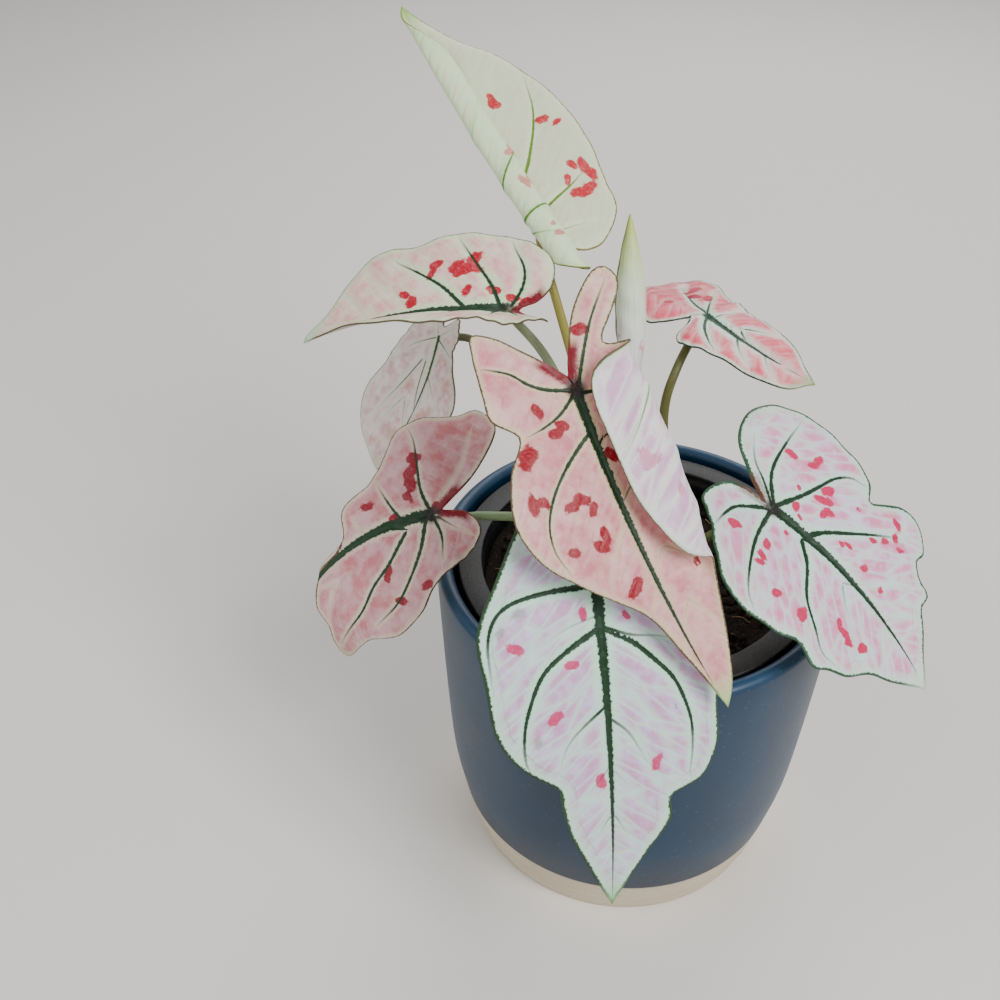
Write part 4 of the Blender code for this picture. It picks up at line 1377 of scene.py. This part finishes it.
def rough(x, y, seed=0.0):
    """Crumbly height in millimetres at a place on the soil."""
    coarse = noise.noise(Vector((x * 0.16, y * 0.16, seed)))
    fine = noise.noise(Vector((x * 0.55, y * 0.55, seed + 7)))
    finest = noise.noise(Vector((x * 1.3, y * 1.3, seed + 13)))
    return 0.9 * coarse + 0.8 * fine + 0.35 * finest


def make_soil():
    soil, column, row = new_grid("soil_body", SOIL_TURNS, SOIL_ROWS)
    turn = tau * (column % SOIL_TURNS) / SOIL_TURNS
    top_rows = SOIL_ROWS - SOIL_WALL_ROWS
    edge = nursery_inner_radius(SOIL_EDGE_TOP) - 0.3
    base = nursery_inner_radius(SOIL_LOW) - 0.3
    radius = np.where(row <= top_rows, edge * row / top_rows, 0)
    height = soil_height(radius, turn)
    crust = np.array([rough(r * cos(a), r * sin(a)) for r, a in zip(radius, turn)])
    height = height + crust * np.clip((edge - radius) / 2, 0, 1)
    down = (row - top_rows) / (SOIL_WALL_ROWS - 1)
    wall = row > top_rows
    radius = np.where(wall, edge + (base - edge) * np.clip(down, 0, 1), radius)
    height = np.where(wall, soil_height(edge, turn) * (1 - down) + SOIL_LOW * down, height)
    radius = np.where(row == SOIL_ROWS, 0, radius)
    height = np.where(row == SOIL_ROWS, SOIL_LOW, height)
    set_points(soil, np.stack([radius * np.cos(turn), radius * np.sin(turn), height], -1))
    close_doubles(soil)
    bpy.ops.object.mode_set(mode="EDIT")
    bpy.ops.mesh.select_all(action="SELECT")
    bpy.ops.mesh.normals_make_consistent(inside=False)
    bpy.ops.object.mode_set(mode="OBJECT")
    return soil


def peat_finish(name, dark, light, speck):
    finish = Finish(name)
    place = finish.place()
    cloud = finish.noise(place, 90.0, 5.0, 0.65)
    grain = finish.noise(place, 700.0, 4.0, 0.7)
    flakes = ((finish.cells(place, 420.0, "F1") * -1.0 + 0.22) * 10.0).clamp()
    colour = finish.mix(dark, light, ((cloud + grain * 0.8 - 0.75) * 2.2).clamp())
    colour = finish.mix(colour, speck, flakes * ((cloud - 0.45) * 5.0).clamp() * 0.5)
    return finish.surface(
        Base_Color=colour,
        Roughness=0.82 + 0.12 * grain,
        Normal=finish.bump(grain + cloud * 0.6, 0.0008, 0.9),
        Specular_IOR_Level=0.25,
    )


soil = make_soil()
crust = peat_finish("peat", shade(14, 11, 9), shade(46, 34, 26), shade(120, 96, 66))
finish_piece(soil, "soil", "peat", crust)

# %% [markdown]
# ## Crumbs and fibres
# The crumbs are one small icosphere, dented by given numbers and repeated. The fibres are short curves with a round
# bevel, turned into a mesh, because a curve carries the thread's thickness without any modelling.

# %% Crumbs and fibres
chance = np.random.default_rng(20)
FEET = [leaf.foot for leaf in LEAVES] + [SPEAR_FOOT]
CRUMBS, CRUMB_REACH = 1500, 49.0
FIBRES, FIBRE_REACH = 70, 46.0


def open_place(most):
    """A random place on the soil that no stalk stands on."""
    while True:
        radius = most * np.sqrt(chance.random())
        turn = tau * chance.random()
        x, y = radius * cos(turn), radius * sin(turn)
        if min(np.hypot(x - fx, y - fy) for fx, fy in FEET) > FOOT_RADIUS + 1.6:
            return x, y, float(soil_height(radius, turn)) + rough(x, y)


def make_crumbs(count):
    bpy.ops.object.select_all(action="DESELECT")
    bpy.ops.mesh.primitive_ico_sphere_add(subdivisions=2, radius=MM, location=(0, 0, 0))
    stone = bpy.context.object
    shape = get_points(stone) / MM
    faces = np.array([tuple(face.vertices) for face in stone.data.polygons])
    bpy.data.objects.remove(stone, do_unlink=True)
    points, all_faces = [], []
    for number in range(count):
        x, y, z = open_place(CRUMB_REACH)
        size = 0.35 + 1.15 * chance.random() ** 3
        dent = 1 + 0.28 * np.sin(shape @ chance.normal(size=3) * 2.6 + 6 * chance.random())
        squash = np.array([1, 0.75 + 0.4 * chance.random(), 0.6 + 0.3 * chance.random()])
        spin = chance.random() * tau
        turned = np.array([[cos(spin), -sin(spin), 0], [sin(spin), cos(spin), 0], [0, 0, 1]])
        crumb = (shape * dent[:, None] * squash * size) @ turned.T
        points.append(crumb + (x, y, z + 0.25 * size))
        all_faces.append(faces + number * len(shape))
    mesh = bpy.data.meshes.new("soil_crumbs")
    mesh.from_pydata(np.vstack(points) * MM, [], np.vstack(all_faces).tolist())
    made = bpy.data.objects.new("soil_crumbs", mesh)
    bpy.context.scene.collection.objects.link(made)
    return made


def make_fibres(count):
    curve = bpy.data.curves.new("fibres", "CURVE")
    curve.dimensions = "3D"
    curve.bevel_depth = 0.14 * MM
    curve.bevel_resolution = 1
    curve.use_fill_caps = True
    for _ in range(count):
        x, y, z = open_place(FIBRE_REACH)
        heading, length = tau * chance.random(), 3 + 7 * chance.random()
        spline = curve.splines.new("POLY")
        spline.points.add(7)
        bend = 0.5 * chance.normal()
        for step, point in enumerate(spline.points):
            share = step / 7 - 0.5
            px = x + length * share * cos(heading + bend * share)
            py = y + length * share * sin(heading + bend * share)
            radius = min(np.hypot(px, py), 48.0)
            base = float(soil_height(radius, np.arctan2(py, px))) + rough(px, py)
            lift = 0.5 + 1.2 * (0.25 - share * share) * chance.random()
            point.co = (px * MM, py * MM, (base + lift) * MM, 1)
    made = bpy.data.objects.new("soil_fibres", curve)
    bpy.context.scene.collection.objects.link(made)
    select_only(made)
    bpy.ops.object.convert(target="MESH")
    return bpy.context.object


def fibre_finish():
    finish = Finish("fibre")
    place = finish.place()
    tone = finish.noise(place, 120.0, 3.0, 0.6)
    colour = finish.mix(shade(150, 118, 78), shade(206, 184, 142), ((tone - 0.4) * 4.0).clamp())
    return finish.surface(Base_Color=colour, Roughness=0.7 + 0.2 * tone)


crumb_finish = peat_finish("peat_crumb", shade(20, 15, 12), shade(64, 46, 34), shade(146, 120, 84))
finish_piece(make_crumbs(CRUMBS), None, "peat", crumb_finish)
finish_piece(make_fibres(FIBRES), None, "peat", fibre_finish())

# %% [markdown]
# ## Tuber
# The tuber stays buried, and the CAD node has its shape already. It keeps that mesh and only
# gets a finish of its own: brown, corky skin with paler scars.

# %% Tuber finish
def tuber_finish():
    finish = Finish("tuber_skin")
    place = finish.place()
    cloud = finish.noise(place, 120.0, 5.0, 0.65)
    scars = ((finish.cells(place, 150.0) * -1.0 + 0.08) * 12.0).clamp()
    colour = finish.mix(shade(74, 46, 28), shade(128, 92, 60), ((cloud - 0.35) * 2.5).clamp())
    colour = finish.mix(colour, shade(176, 148, 112), scars * 0.5)
    relief = finish.bump(cloud - scars * 0.4, 0.001, 0.8)
    return finish.surface(Base_Color=colour, Roughness=0.75 + 0.15 * cloud, Normal=relief)


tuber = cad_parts["tuber"]
tuber.data.materials.clear()
tuber.data.materials.append(tuber_finish())
print("tuber keeps its CAD mesh")

# %% [markdown]
# ## Stage and light
# A plain pale floor and three large, soft area lights, as by a window with reflectors. The
# largest stands to the right and in front, because the pot's wall is lighter on that side.

# %% Stage and light
bpy.ops.mesh.primitive_plane_add(size=6.0, location=(0, 0, 0))
floor = bpy.context.object
floor.name = "floor"
paper = Finish("paper")
floor.data.materials.append(paper.surface(Base_Color=shade(226, 222, 216), Roughness=0.9))


def soft_light(name, place, aim, size, power):
    bpy.ops.object.light_add(type="AREA", location=place)
    lamp = bpy.context.object
    lamp.name = name
    lamp.data.size = size
    lamp.data.energy = power
    lamp.rotation_euler = (Vector(aim) - Vector(place)).to_track_quat("-Z", "Y").to_euler()


soft_light("key_light", (0.7, -0.7, 1.1), (0, 0, 0.15), 0.6, 19)
soft_light("fill_light", (-0.9, -0.5, 0.9), (0, 0, 0.15), 1.0, 6)
soft_light("back_light", (0.1, 1.0, 0.9), (0, 0, 0.15), 0.9, 8)
world = bpy.data.worlds.new("studio")
bpy.context.scene.world = world
world.use_nodes = True
world.node_tree.nodes["Background"].inputs["Color"].default_value = (0.9, 0.92, 0.95, 1)
world.node_tree.nodes["Background"].inputs["Strength"].default_value = 0.4
print("floor, three soft lights and a pale world")
